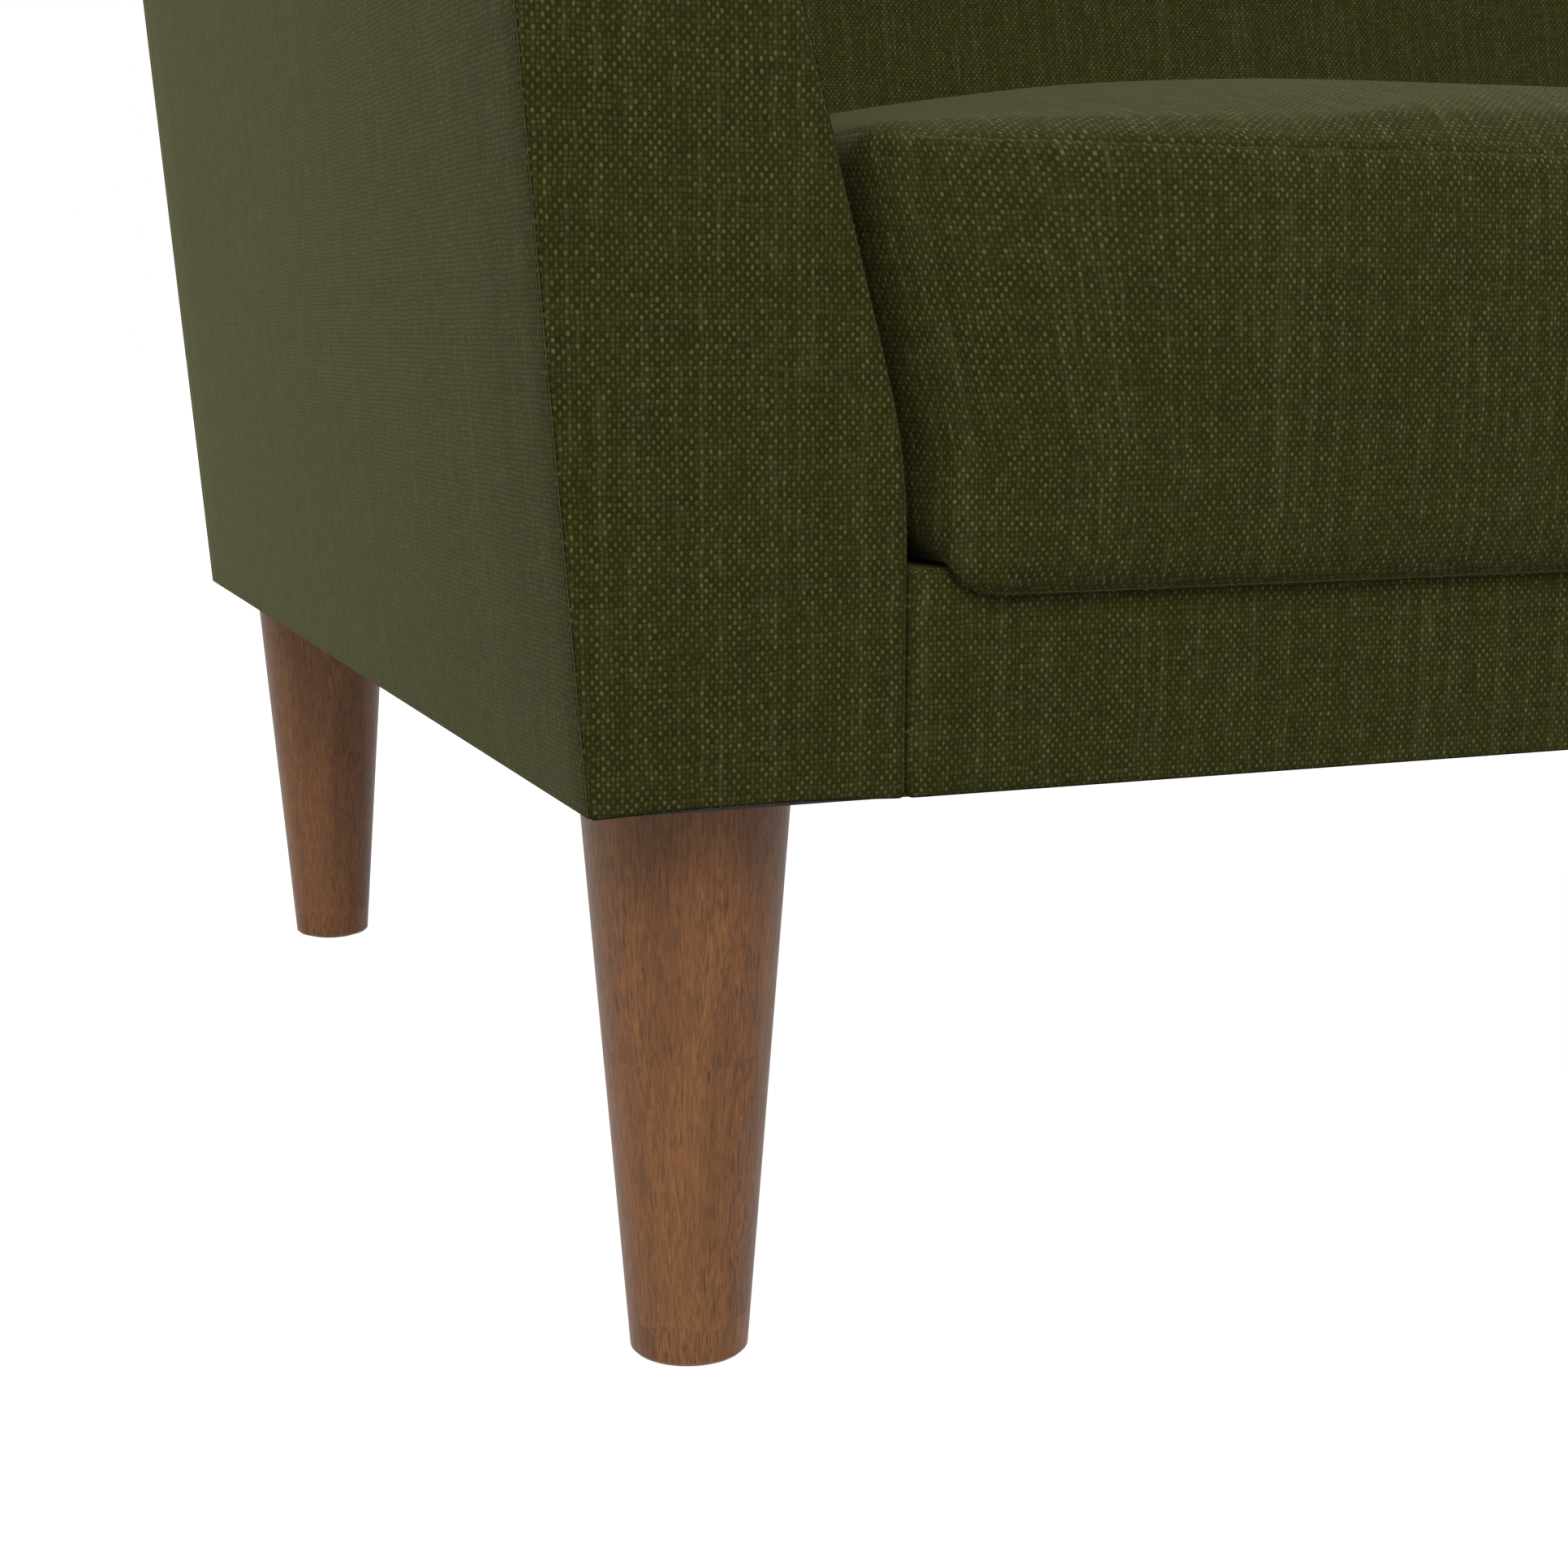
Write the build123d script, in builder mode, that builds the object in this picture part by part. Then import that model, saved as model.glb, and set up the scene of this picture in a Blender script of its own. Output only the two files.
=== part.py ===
"""Two-seat sofa with flared arms, a tight back, two loose seat cushions and tapered wooden legs.

Millimetres. X runs from the left arm (-X, as seen from the front) to the right arm, Y from front to
back and Z up from the floor. The origin is on the floor, under the middle of the whole sofa.
"""

import os
from math import ceil, hypot, radians, sqrt, tan

from build123d import *

# ---- Driving dimensions -------------------------------------------------------------------------

# Overall sizes
BASE_WIDTH = 1868.0  # across the feet of the two arms
DEPTH = 787.0  # arm front to outside back
LEG_HEIGHT = 205.0  # floor to the underside of the body
ARM_TOP = 612.0
BACK_TOP = 846.0
CUSHION_OVERHANG = 15.0  # the seat cushions stand this far in front of the rail

# Arm section
ARM_WIDTH = 105.7  # at the foot of the arm
OUTER_LEAN = 0.077  # outward run of the outer side per unit of height
INNER_LEAN = 0.262  # outward run of the inner side above its bend
BEND_HEIGHT = 314.0  # where the two straight runs of the inner side would meet
BEND_RADIUS = 186.0
ARM_TOP_RADIUS = 24.0
TOP_HEM = 12.0  # how far the top cover comes down the outer side

# Back
BACK_ANGLE = 13.0  # degrees that the inside back leans from upright, where there is room for it
BACK_TOP_LEAST = 95.0  # least depth of the back at its top
SEAT_BACK_DEPTH = 558.0  # arm front to the inside back, at the level of the deck
BACK_FOAM = 60.0
BACK_EDGE_FOAM = 25.0  # over the top and the ends of the back
BACK_CORNER_RADIUS = 48.0
BACK_EDGE_RADIUS = 26.0
REAR_RAIL_SETBACK = 92.0  # rear seat rail behind the inside back, at the level of the deck
TOP_RAIL_HEIGHT = 45.0
BOTTOM_RAIL_SETBACK = 12.0  # behind the front of the uprights
STRAPS_UP = 8
STRAPS_ACROSS = 5

# Rail, deck and cushions
RAIL_TOP = 278.5
RAIL_BOARD_TOP = 262.0
SPRING_ZONE = 6.0  # height taken by the springs and their clips
DECK_PAD = 7.5
DECK_CLOTH = 1.5
RAIL_RETURN = 40.0  # the rail cover runs back over the deck this far
RAIL_EDGE_RADIUS = 2.6
BOXING = 135.2  # height of the cushion sides between their seams
CROWN = 48.0  # rise of the cushion top above its seam
CROWN_INSET = 130.0
CROWN_RADIUS = 60.0
CUSHION_CORNER = 34.0
CUSHION_SIDE_GAP = 4.0
CUSHION_MIDDLE_GAP = 6.0
CUSHION_BACK_GAP = 6.0

# Materials
COVER = 3.0  # fabric with its lining of fibre
WADDING = 5.0  # on the front of the arms and the rail
SIDE_WADDING = 3.0
ARM_FOAM = 15.0
BOARD = 3.0  # bent fibreboard
PLANK = 22.0  # frame timber
UPRIGHT = 25.0
LOWER_RAIL_RISE = 24.0  # above the seat rails, to carry the foot of the inner board
BLOCK_LEG = 62.0  # corner blocks, along each rail
BLOCK_HEIGHT = 38.0
BLOCK_RISE = 6.0  # above the underside of the rails
DUST_CLOTH = 1.0

# Legs and hardware
LEG_TOP_RADIUS = 36.4
LEG_FOOT_RADIUS = 20.7
LEG_INSET = 64.9  # leg centre behind the arm front, and before the outside back
LEG_ARRIS = 1.2
PLATE_RADIUS = 30.0
PLATE_THICKNESS = 2.0
GLIDE_RADIUS = 15.0
GLIDE_THICKNESS = 3.5
GLIDE_RECESS = 2.0
BOLT_DIAMETER = 8.0
BOLT_CLEARANCE = 0.4
HANGER_IN_LEG = 52.0
HEX_ACROSS_FLATS = 13.0
HEX_HEAD = 5.3
HEX_NUT = 6.5
SCREW_DIAMETER = 4.0
SCREW_LENGTH = 19.0
SCREW_CIRCLE = 21.0
SCREWS_PER_PLATE = 4
SCREW_HEAD_RADIUS = 3.4
SCREW_HEAD_THICKNESS = 1.4
RECESS_ROOM = 0.4  # between a screw's head and the floor of its recess
HOLE_ROOM = 3.0  # between a bolt's end and the floor of its hole
THREAD_FIT = 0.1  # radial space round a screw or bolt in its own hole
SPRING_WIRE = 3.6
SPRING_LOOP = 12.5  # radius of a turn
SPRING_BAR = 30.0
SPRING_LIFT = 1.0  # wire above the rails
CLIP_WALL = 0.8
CLIP_LENGTH = 14.0
CLIP_MOUTH = 6.0
CLIP_FOOT = 9.0
SPRINGS_PER_SEAT = 6
STRAP_WIDTH = 50.0
STRAP_THICKNESS = 1.5
ZIP_WIDTH = 26.0
ZIP_LENGTH = 600.0
ZIP_TAPE = 1.0
COIL_WIDTH = 5.0
COIL_HEIGHT = 1.6
SLIDER_SIZE = (12.0, 8.0, 1.8)
PULL_SIZE = (22.0, 5.0, 1.0)
SLIDE_ROOM = 0.3  # between a part that moves and what it passes

# ---- Worked out from them -----------------------------------------------------------------------

half = BASE_WIDTH / 2
y_front = -(DEPTH - CUSHION_OVERHANG) / 2
y_back = y_front + DEPTH
seat_half = half - ARM_WIDTH
y_panel = y_front + COVER  # behind the front covers
y_frame = y_panel + WADDING  # front of the timber frame
y_frame_back = y_back - COVER
z_body = LEG_HEIGHT
z_frame = z_body + DUST_CLOTH
z_pad = RAIL_BOARD_TOP + SPRING_ZONE
z_cloth = z_pad + DECK_PAD
z_deck = z_cloth + DECK_CLOTH
inner_inset = COVER + ARM_FOAM + BOARD
outer_inset = COVER + SIDE_WADDING
x_post = half - ARM_WIDTH + inner_inset  # inner edge of the arm posts, from the middle
y_seat_rail = y_front + SEAT_BACK_DEPTH + REAR_RAIL_SETBACK
web_inset = COVER + BACK_FOAM
upright_inset = web_inset + 2 * STRAP_THICKNESS
inner_slant = hypot(1, INNER_LEAN)
outer_slant = hypot(1, OUTER_LEAN)
back_room = DEPTH - SEAT_BACK_DEPTH - BACK_TOP_LEAST
back_lean = min(tan(radians(BACK_ANGLE)), back_room / (BACK_TOP - z_deck))
back_slant = hypot(1, back_lean)
leg_x = half - ARM_WIDTH / 2
leg_places = [(x, y) for x in (-leg_x, leg_x) for y in (y_front + LEG_INSET, y_back - LEG_INSET)]

os.makedirs("parts", exist_ok=True)


def save(piece, node):
    """Label a finished piece and write it."""
    piece.part.label = node
    export_step(piece.part, f"parts/{node}.step")


def save_pair(piece, node):
    """Write a left-hand piece and its mirror image on the right."""
    save(piece, f"left_{node}")
    with BuildPart() as mirrored:
        mirror(piece.part, about=Plane.YZ)
    save(mirrored, f"right_{node}")


def across(y):
    """Upright sketch plane at depth y: sketch x is X and sketch y is Z; extruding comes forward."""
    return Plane.XZ.offset(-y)


def along(x):
    """Upright sketch plane at x: sketch x is Y and sketch y is Z; extruding goes towards +X."""
    return Plane.YZ.offset(x)


# ---- Shared outlines ----------------------------------------------------------------------------


def arm_section(outer, inner, top, bottom, bend=True, round_top=True):
    """Face of the left arm's section, drawn in from its outside by the three insets."""
    z_top = ARM_TOP - top
    z_bend = BEND_HEIGHT + inner * (1 - inner_slant) / INNER_LEAN
    x_in = -half + ARM_WIDTH - inner
    x_in_top = -half + ARM_WIDTH - INNER_LEAN * (z_top - BEND_HEIGHT) - inner * inner_slant

    def x_out(z):
        return -half - OUTER_LEAN * (z - z_body) + outer * outer_slant

    outside = [(x_out(bottom), bottom), (x_out(z_top), z_top)]
    inside = [(x_in_top, z_top), (x_in, z_bend), (x_in, bottom)]
    with BuildSketch() as section:
        with BuildLine():
            Polyline(*outside, *inside, close=True)
        make_face()
        if bend:
            fillet(section.vertices().sort_by_distance((x_in, z_bend))[0], BEND_RADIUS - inner)
        if round_top:
            fillet(section.vertices().sort_by_distance((x_in_top, z_top))[0], ARM_TOP_RADIUS - top)
    return section.sketch


def back_face(inset, z):
    """Depth of the inside back's plane at height z, drawn in by an inset."""
    return y_front + SEAT_BACK_DEPTH + back_lean * (z - z_deck) + inset * back_slant


def back_elevation(side, top, bottom, corner):
    """Front elevation of the back, which fills the space between the arms and flares with them."""
    gap = SLIDE_ROOM + side
    z_top = BACK_TOP - top
    z_bend = BEND_HEIGHT + gap * (inner_slant - 1) / INNER_LEAN
    x_low = seat_half - gap
    x_arm = seat_half + INNER_LEAN * (ARM_TOP - BEND_HEIGHT) - gap * inner_slant
    x_top = x_arm + OUTER_LEAN * (z_top - ARM_TOP)
    right = [(x_low, bottom), (x_low, z_bend), (x_arm, ARM_TOP), (x_top, z_top)]
    left = [(-x, z) for x, z in reversed(right)]
    with BuildSketch() as face:
        with BuildLine():
            Polyline(*right, *left, close=True)
        make_face()
        bends = [face.vertices().sort_by_distance((x, z_bend))[0] for x in (x_low, -x_low)]
        fillet(bends, BEND_RADIUS + gap)
        if corner:
            corners = [face.vertices().sort_by_distance((x, z_top))[0] for x in (x_top, -x_top)]
            fillet(corners, corner)
    return face.sketch


def back_body(front, side, top, corner, edge, bottom=z_deck):
    """Wedge between the inside back and the outside back, drawn in by insets."""
    z_top = BACK_TOP - top
    wedge = [
        (back_face(front, bottom), bottom),
        (back_face(front, z_top), z_top),
        (y_frame_back, z_top),
        (y_frame_back, bottom),
    ]
    with BuildPart() as body:
        with BuildSketch(across(y_frame_back)):
            add(back_elevation(side, top, bottom, corner))
        extrude(amount=DEPTH)
        with BuildSketch(along(-BASE_WIDTH)) as profile:
            with BuildLine():
                Polyline(*wedge, close=True)
            make_face()
            if edge:
                fillet(profile.vertices().sort_by_distance((back_face(front, z_top), z_top))[0], edge)
        extrude(amount=2 * BASE_WIDTH, mode=Mode.INTERSECT)
    return body.part


def timber(x0, x1, y0, y1, z0, z1):
    """Add a plain board between two corners to the piece being made."""
    centre = ((x0 + x1) / 2, (y0 + y1) / 2, (z0 + z1) / 2)
    with Locations(centre):
        Box(x1 - x0, y1 - y0, z1 - z0)


# ---- Seat frame ---------------------------------------------------------------------------------

bolt_z = (z_frame + PLANK + BOARD + RAIL_BOARD_TOP) / 2
y_inner_front = y_frame + PLANK
y_inner_back = y_frame_back - PLANK
bolt_rows = [y_inner_front + share * (y_seat_rail - y_inner_front) for share in (0.25, 0.55, 0.85)]
bolt_hole = BOLT_DIAMETER / 2 + BOLT_CLEARANCE / 2

with BuildPart() as front_rail_board:
    timber(-x_post, x_post, y_frame, y_inner_front, z_frame, RAIL_BOARD_TOP)
save(front_rail_board, "front_rail_board")

with BuildPart() as side_rail:
    timber(-x_post, -x_post + PLANK, y_inner_front, y_inner_back, z_frame, RAIL_BOARD_TOP)
    for y in bolt_rows:
        with Locations(Plane.YZ.offset(-x_post) * Location((y, bolt_z))):
            Cylinder(bolt_hole, 3 * PLANK, mode=Mode.SUBTRACT)
save_pair(side_rail, "side_rail")

x_seat_frame = x_post - PLANK

with BuildPart() as rear_seat_rail:
    timber(-x_seat_frame, x_seat_frame, y_seat_rail, y_seat_rail + PLANK, z_frame, RAIL_BOARD_TOP)
save(rear_seat_rail, "rear_seat_rail")

with BuildPart() as rear_bottom_rail:
    timber(-x_post, x_post, y_inner_back, y_frame_back, z_frame, RAIL_BOARD_TOP)
save(rear_bottom_rail, "rear_bottom_rail")

with BuildPart() as centre_stretcher:
    timber(-PLANK / 2, PLANK / 2, y_inner_front, y_seat_rail, z_frame, RAIL_BOARD_TOP - PLANK)
save(centre_stretcher, "centre_stretcher")

with BuildPart() as corner_blocks:
    for x_sign in (-1, 1):
        for y_corner, y_sign in ((y_inner_front, 1), (y_seat_rail, -1)):
            x_corner = x_sign * x_seat_frame
            with BuildSketch(Plane.XY.offset(z_frame + BLOCK_RISE)):
                with BuildLine():
                    Polyline(
                        (x_corner, y_corner),
                        (x_corner - x_sign * BLOCK_LEG, y_corner),
                        (x_corner, y_corner + y_sign * BLOCK_LEG),
                        close=True,
                    )
                make_face()
            extrude(amount=BLOCK_HEIGHT)
save(corner_blocks, "corner_blocks")

# ---- Arm frames ---------------------------------------------------------------------------------

z_arm_frame = z_frame + PLANK + BOARD  # the base board is a thicker plank
z_lower_rail = RAIL_BOARD_TOP + LOWER_RAIL_RISE

with BuildPart() as arm_base_board:
    with BuildSketch(across(y_frame_back)):
        add(arm_section(outer_inset, inner_inset, 0, z_frame, bend=False, round_top=False))
        with Locations((-half, z_arm_frame)):
            Rectangle(BASE_WIDTH, BACK_TOP, align=(Align.CENTER, Align.MIN), mode=Mode.SUBTRACT)
    extrude(amount=y_frame_back - y_frame)
    for x, y in leg_places:
        if x < 0:
            with Locations((x, y, z_frame)):
                Cylinder(bolt_hole, 3 * PLANK, mode=Mode.SUBTRACT)
                with PolarLocations(SCREW_CIRCLE, SCREWS_PER_PLATE, start_angle=45):
                    Cylinder(SCREW_DIAMETER / 2 + THREAD_FIT, 2 * SCREW_LENGTH, mode=Mode.SUBTRACT)
save_pair(arm_base_board, "arm_base_board")

for node, y_far in (("arm_front_post", y_inner_front), ("arm_rear_post", y_frame_back)):
    with BuildPart() as arm_post:
        with BuildSketch(across(y_far)):
            add(arm_section(outer_inset, inner_inset, COVER + ARM_FOAM, z_arm_frame, round_top=False))
        extrude(amount=PLANK)
    save_pair(arm_post, node)

with BuildPart() as arm_top_rail:
    with BuildSketch(across(y_inner_back)):
        add(arm_section(outer_inset, inner_inset, COVER + ARM_FOAM, z_arm_frame, round_top=False))
        with Locations((-half, ARM_TOP - COVER - ARM_FOAM - PLANK - BOARD)):
            Rectangle(BASE_WIDTH, BACK_TOP, align=(Align.CENTER, Align.MAX), mode=Mode.SUBTRACT)
    extrude(amount=y_inner_back - y_inner_front)
save_pair(arm_top_rail, "arm_top_rail")

with BuildPart() as arm_lower_rail:
    timber(-x_post - PLANK, -x_post, y_inner_front, y_inner_back, z_arm_frame, z_lower_rail)
    for y in bolt_rows:
        with Locations(Plane.YZ.offset(-x_post) * Location((y, bolt_z))):
            Cylinder(bolt_hole, 3 * PLANK, mode=Mode.SUBTRACT)
save_pair(arm_lower_rail, "arm_lower_rail")

with BuildPart() as arm_inner_board:
    with BuildSketch(across(y_frame_back)):
        add(arm_section(outer_inset, COVER + ARM_FOAM, COVER + ARM_FOAM, RAIL_BOARD_TOP, round_top=False))
        add(
            arm_section(-BOARD, inner_inset, -BOARD, RAIL_BOARD_TOP - BOARD, round_top=False),
            mode=Mode.SUBTRACT,
        )
    extrude(amount=y_frame_back - y_frame)
save_pair(arm_inner_board, "arm_inner_board")

# ---- Back frame ---------------------------------------------------------------------------------

hollow_half = seat_half - SLIDE_ROOM - COVER - BACK_EDGE_FOAM
top_rail_top = BACK_TOP - COVER - BACK_EDGE_FOAM
top_rail_bottom = top_rail_top - TOP_RAIL_HEIGHT
y_top_rail = back_face(upright_inset, top_rail_top)
y_bottom_rail = back_face(upright_inset, z_deck + BOARD) + BOTTOM_RAIL_SETBACK

upright_outline = [
    (y_seat_rail + PLANK, z_frame),
    (y_inner_back, z_frame),
    (y_inner_back, RAIL_BOARD_TOP),
    (y_frame_back, RAIL_BOARD_TOP),
    (y_frame_back, top_rail_bottom),
    (back_face(upright_inset, top_rail_bottom), top_rail_bottom),
    (back_face(upright_inset, z_deck + BOARD), z_deck + BOARD),
    (y_seat_rail + PLANK, z_deck + BOARD),
]
for node, x in (
    ("left_back_upright", -hollow_half),
    ("centre_back_upright", -UPRIGHT / 2),
    ("right_back_upright", hollow_half - UPRIGHT),
):
    with BuildPart() as back_upright:
        with BuildSketch(along(x)):
            with BuildLine():
                Polyline(*upright_outline, close=True)
            make_face()
        extrude(amount=UPRIGHT)
    save(back_upright, node)

with BuildPart() as back_top_rail:
    timber(-hollow_half, hollow_half, y_top_rail, y_frame_back, top_rail_bottom, top_rail_top)
save(back_top_rail, "back_top_rail")

with BuildPart() as back_bottom_rails:
    for x in (UPRIGHT / 2, UPRIGHT - hollow_half):
        x_far = x + hollow_half - 1.5 * UPRIGHT
        timber(x, x_far, y_bottom_rail, y_bottom_rail + PLANK, z_deck + BOARD, z_deck + 2 * PLANK)
save(back_bottom_rails, "back_bottom_rails")

def back_plane(z, inset, x=0):
    """Plane of the inside back, drawn in by an inset: sketch x is X, and sketch y runs down it."""
    return Plane(
        origin=(x, back_face(inset, z), z),
        x_dir=(1, 0, 0),
        z_dir=(0, 1 / back_slant, -back_lean / back_slant),
    )


strap_top = (top_rail_bottom - z_deck) * back_slant
strap_bottom = PLANK * back_slant
strap_run = strap_top - strap_bottom
strap_pitch = strap_run / (STRAPS_ACROSS + 1)

with BuildPart() as back_webbing:
    with BuildSketch(back_plane(z_deck, web_inset)):
        with Locations((0, -(strap_top + strap_bottom) / 2)):
            with GridLocations(2 * hollow_half / (STRAPS_UP + 1), 0, STRAPS_UP, 1):
                Rectangle(STRAP_WIDTH, strap_run)
    extrude(amount=STRAP_THICKNESS)
    with BuildSketch(back_plane(z_deck, web_inset + STRAP_THICKNESS)):
        with Locations(*[(0, -strap_bottom - (n + 1) * strap_pitch) for n in range(STRAPS_ACROSS)]):
            Rectangle(2 * hollow_half, STRAP_WIDTH)
    extrude(amount=STRAP_THICKNESS)
save(back_webbing, "back_webbing")

# ---- Springs ------------------------------------------------------------------------------------

spring_z = RAIL_BOARD_TOP + SPRING_LIFT + SPRING_WIRE / 2
y_first_bar = y_frame + PLANK / 2
bars = ceil((y_seat_rail - y_frame) / (2 * SPRING_LOOP)) + 1
bar_pitch = (y_seat_rail - y_frame) / (bars - 1)
spring_pitch = x_seat_frame / (SPRINGS_PER_SEAT + 0.5)
spring_xs = [side * spring_pitch * (n + 0.75) for side in (-1, 1) for n in range(SPRINGS_PER_SEAT)]

with BuildPart() as one_spring:
    with BuildLine() as snake:
        for bar in range(bars):
            y = y_first_bar + bar * bar_pitch
            end = SPRING_BAR / 2 * (1 if bar % 2 == 0 else -1)
            Line((-end, y, spring_z), (end, y, spring_z))
            if bar < bars - 1:
                bulge = end + (bar_pitch / 2 if end > 0 else -bar_pitch / 2)
                ThreePointArc(
                    (end, y, spring_z),
                    (bulge, y + bar_pitch / 2, spring_z),
                    (end, y + bar_pitch, spring_z),
                )
    with BuildSketch(Plane(origin=snake.line @ 0, z_dir=snake.line % 0)):
        Circle(SPRING_WIRE / 2)
    sweep()

with BuildPart() as seat_springs:
    with Locations(*[(x, 0, 0) for x in spring_xs]):
        add(one_spring.part)
save(seat_springs, "seat_springs")

clip_inner = SPRING_WIRE / 2 + THREAD_FIT
with BuildPart() as spring_clips:
    for y_bar, y_sign in ((y_first_bar, 1), (y_first_bar + (bars - 1) * bar_pitch, -1)):
        for x in spring_xs:
            with BuildSketch(along(x - CLIP_LENGTH / 2)):
                with Locations((y_bar, spring_z)):
                    Circle(clip_inner + CLIP_WALL)
                    Circle(clip_inner, mode=Mode.SUBTRACT)
                with Locations((y_bar + y_sign * CLIP_MOUTH / 2, spring_z)):
                    Rectangle(CLIP_MOUTH, 2 * clip_inner, mode=Mode.SUBTRACT)
                with Locations((y_bar - y_sign * CLIP_MOUTH / 2, RAIL_BOARD_TOP)):
                    Rectangle(CLIP_FOOT, CLIP_WALL, align=(Align.CENTER, Align.MIN))
            extrude(amount=CLIP_LENGTH)
save(spring_clips, "spring_clips")

# ---- Fasteners ----------------------------------------------------------------------------------

with BuildPart() as arm_bolts:
    for side in (-1, 1):
        for y in bolt_rows:
            face = Plane(origin=(side * (x_post - PLANK), y, bolt_z), z_dir=(-side, 0, 0))
            with BuildSketch(face):
                RegularPolygon(HEX_ACROSS_FLATS / sqrt(3), 6)
            extrude(amount=HEX_HEAD)
            with BuildSketch(face):
                Circle(BOLT_DIAMETER / 2)
            extrude(amount=-(2 * PLANK + HEX_NUT + BOARD))
            with BuildSketch(face.offset(-2 * PLANK)):
                RegularPolygon(HEX_ACROSS_FLATS / sqrt(3), 6)
            extrude(amount=-HEX_NUT)
save(arm_bolts, "arm_bolts")

z_plate = z_frame - PLATE_THICKNESS
with BuildPart() as leg_plates:
    with BuildSketch(Plane.XY.offset(z_plate)):
        with Locations(*leg_places):
            Circle(PLATE_RADIUS)
            Circle(BOLT_DIAMETER / 2 + THREAD_FIT, mode=Mode.SUBTRACT)
            with PolarLocations(SCREW_CIRCLE, SCREWS_PER_PLATE, start_angle=45):
                Circle(SCREW_DIAMETER / 2 + THREAD_FIT, mode=Mode.SUBTRACT)
    extrude(amount=PLATE_THICKNESS)
save(leg_plates, "leg_plates")

with BuildPart() as leg_plate_screws:
    for x, y in leg_places:
        with BuildSketch(Plane.XY.offset(z_plate)):
            with Locations((x, y)):
                with PolarLocations(SCREW_CIRCLE, SCREWS_PER_PLATE, start_angle=45):
                    Circle(SCREW_DIAMETER / 2)
        extrude(amount=SCREW_LENGTH)
        with BuildSketch(Plane.XY.offset(z_plate)):
            with Locations((x, y)):
                with PolarLocations(SCREW_CIRCLE, SCREWS_PER_PLATE, start_angle=45):
                    Circle(SCREW_HEAD_RADIUS)
        extrude(amount=-SCREW_HEAD_THICKNESS)
save(leg_plate_screws, "leg_plate_screws")

with BuildPart() as hanger_bolts:
    with BuildSketch(Plane.XY.offset(z_plate - HANGER_IN_LEG)):
        with Locations(*leg_places):
            Circle(BOLT_DIAMETER / 2)
    extrude(amount=HANGER_IN_LEG + PLATE_THICKNESS + PLANK)
save(hanger_bolts, "hanger_bolts")

# ---- Legs ---------------------------------------------------------------------------------------

z_foot = GLIDE_THICKNESS - GLIDE_RECESS
for node, (x, y) in zip(("front_left", "rear_left", "front_right", "rear_right"), leg_places):
    with BuildPart() as leg:
        with BuildSketch(Plane.XZ) as half_section:
            with BuildLine():
                Polyline(
                    (0, z_foot),
                    (LEG_FOOT_RADIUS - LEG_ARRIS, z_foot),
                    (LEG_FOOT_RADIUS, z_foot + LEG_ARRIS),
                    (LEG_TOP_RADIUS, z_plate),
                    (0, z_plate),
                    close=True,
                )
            make_face()
        revolve(axis=Axis.Z)
        with BuildSketch(Plane.XY.offset(z_foot)):
            Circle(GLIDE_RADIUS + THREAD_FIT)
        extrude(amount=GLIDE_RECESS, mode=Mode.SUBTRACT)
        with BuildSketch(Plane.XY.offset(z_plate)):
            Circle(BOLT_DIAMETER / 2 + THREAD_FIT)
        extrude(amount=-HANGER_IN_LEG - HOLE_ROOM, mode=Mode.SUBTRACT)
        with BuildSketch(Plane.XY.offset(z_plate)):
            with PolarLocations(SCREW_CIRCLE, SCREWS_PER_PLATE, start_angle=45):
                Circle(SCREW_HEAD_RADIUS + THREAD_FIT)
        extrude(amount=-SCREW_HEAD_THICKNESS - RECESS_ROOM, mode=Mode.SUBTRACT)
    with BuildPart() as placed_leg:
        with Locations((x, y, 0)):
            add(leg.part)
    save(placed_leg, f"{node}_leg")

with BuildPart() as leg_glides:
    with BuildSketch():
        with Locations(*leg_places):
            Circle(GLIDE_RADIUS)
    extrude(amount=GLIDE_THICKNESS)
save(leg_glides, "leg_glides")

# ---- Arm upholstery -----------------------------------------------------------------------------

with BuildPart() as arm_padding:
    with BuildSketch(across(y_frame_back)):
        add(arm_section(COVER, COVER, COVER, z_frame))
        add(
            arm_section(outer_inset, COVER + ARM_FOAM, COVER + ARM_FOAM, z_body, round_top=False),
            mode=Mode.SUBTRACT,
        )
        with Locations((-half + ARM_WIDTH, RAIL_BOARD_TOP)):
            Rectangle(ARM_WIDTH, LEG_HEIGHT, align=(Align.CENTER, Align.MAX), mode=Mode.SUBTRACT)
    extrude(amount=y_frame_back - y_frame)
    with BuildSketch(across(y_frame)):
        add(arm_section(COVER, COVER, COVER, z_frame))
    extrude(amount=WADDING)
save_pair(arm_padding, "arm_padding")

with BuildPart() as arm_side_cover:
    with BuildSketch(across(y_frame_back)):
        add(arm_section(0, 0, TOP_HEM, z_body, round_top=False))
        add(arm_section(COVER, -COVER, -COVER, z_body, round_top=False), mode=Mode.SUBTRACT)
    extrude(amount=y_frame_back - y_panel)
save_pair(arm_side_cover, "arm_side_cover")

with BuildPart() as arm_front_cover:
    with BuildSketch(across(y_panel)):
        add(arm_section(0, 0, 0, z_body))
    extrude(amount=COVER)
save_pair(arm_front_cover, "arm_front_cover")

with BuildPart() as arm_inner_cover:
    with BuildSketch(across(y_frame_back)):
        add(arm_section(0, 0, 0, RAIL_BOARD_TOP))
        add(arm_section(COVER, COVER, COVER, z_body), mode=Mode.SUBTRACT)
        with Locations((-half + COVER, ARM_TOP - TOP_HEM)):
            Rectangle(BASE_WIDTH, BACK_TOP, align=(Align.MAX, Align.MAX), mode=Mode.SUBTRACT)
    extrude(amount=y_frame_back - y_panel)
save_pair(arm_inner_cover, "arm_inner_cover")

# ---- Rail, deck and underside -------------------------------------------------------------------

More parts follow.
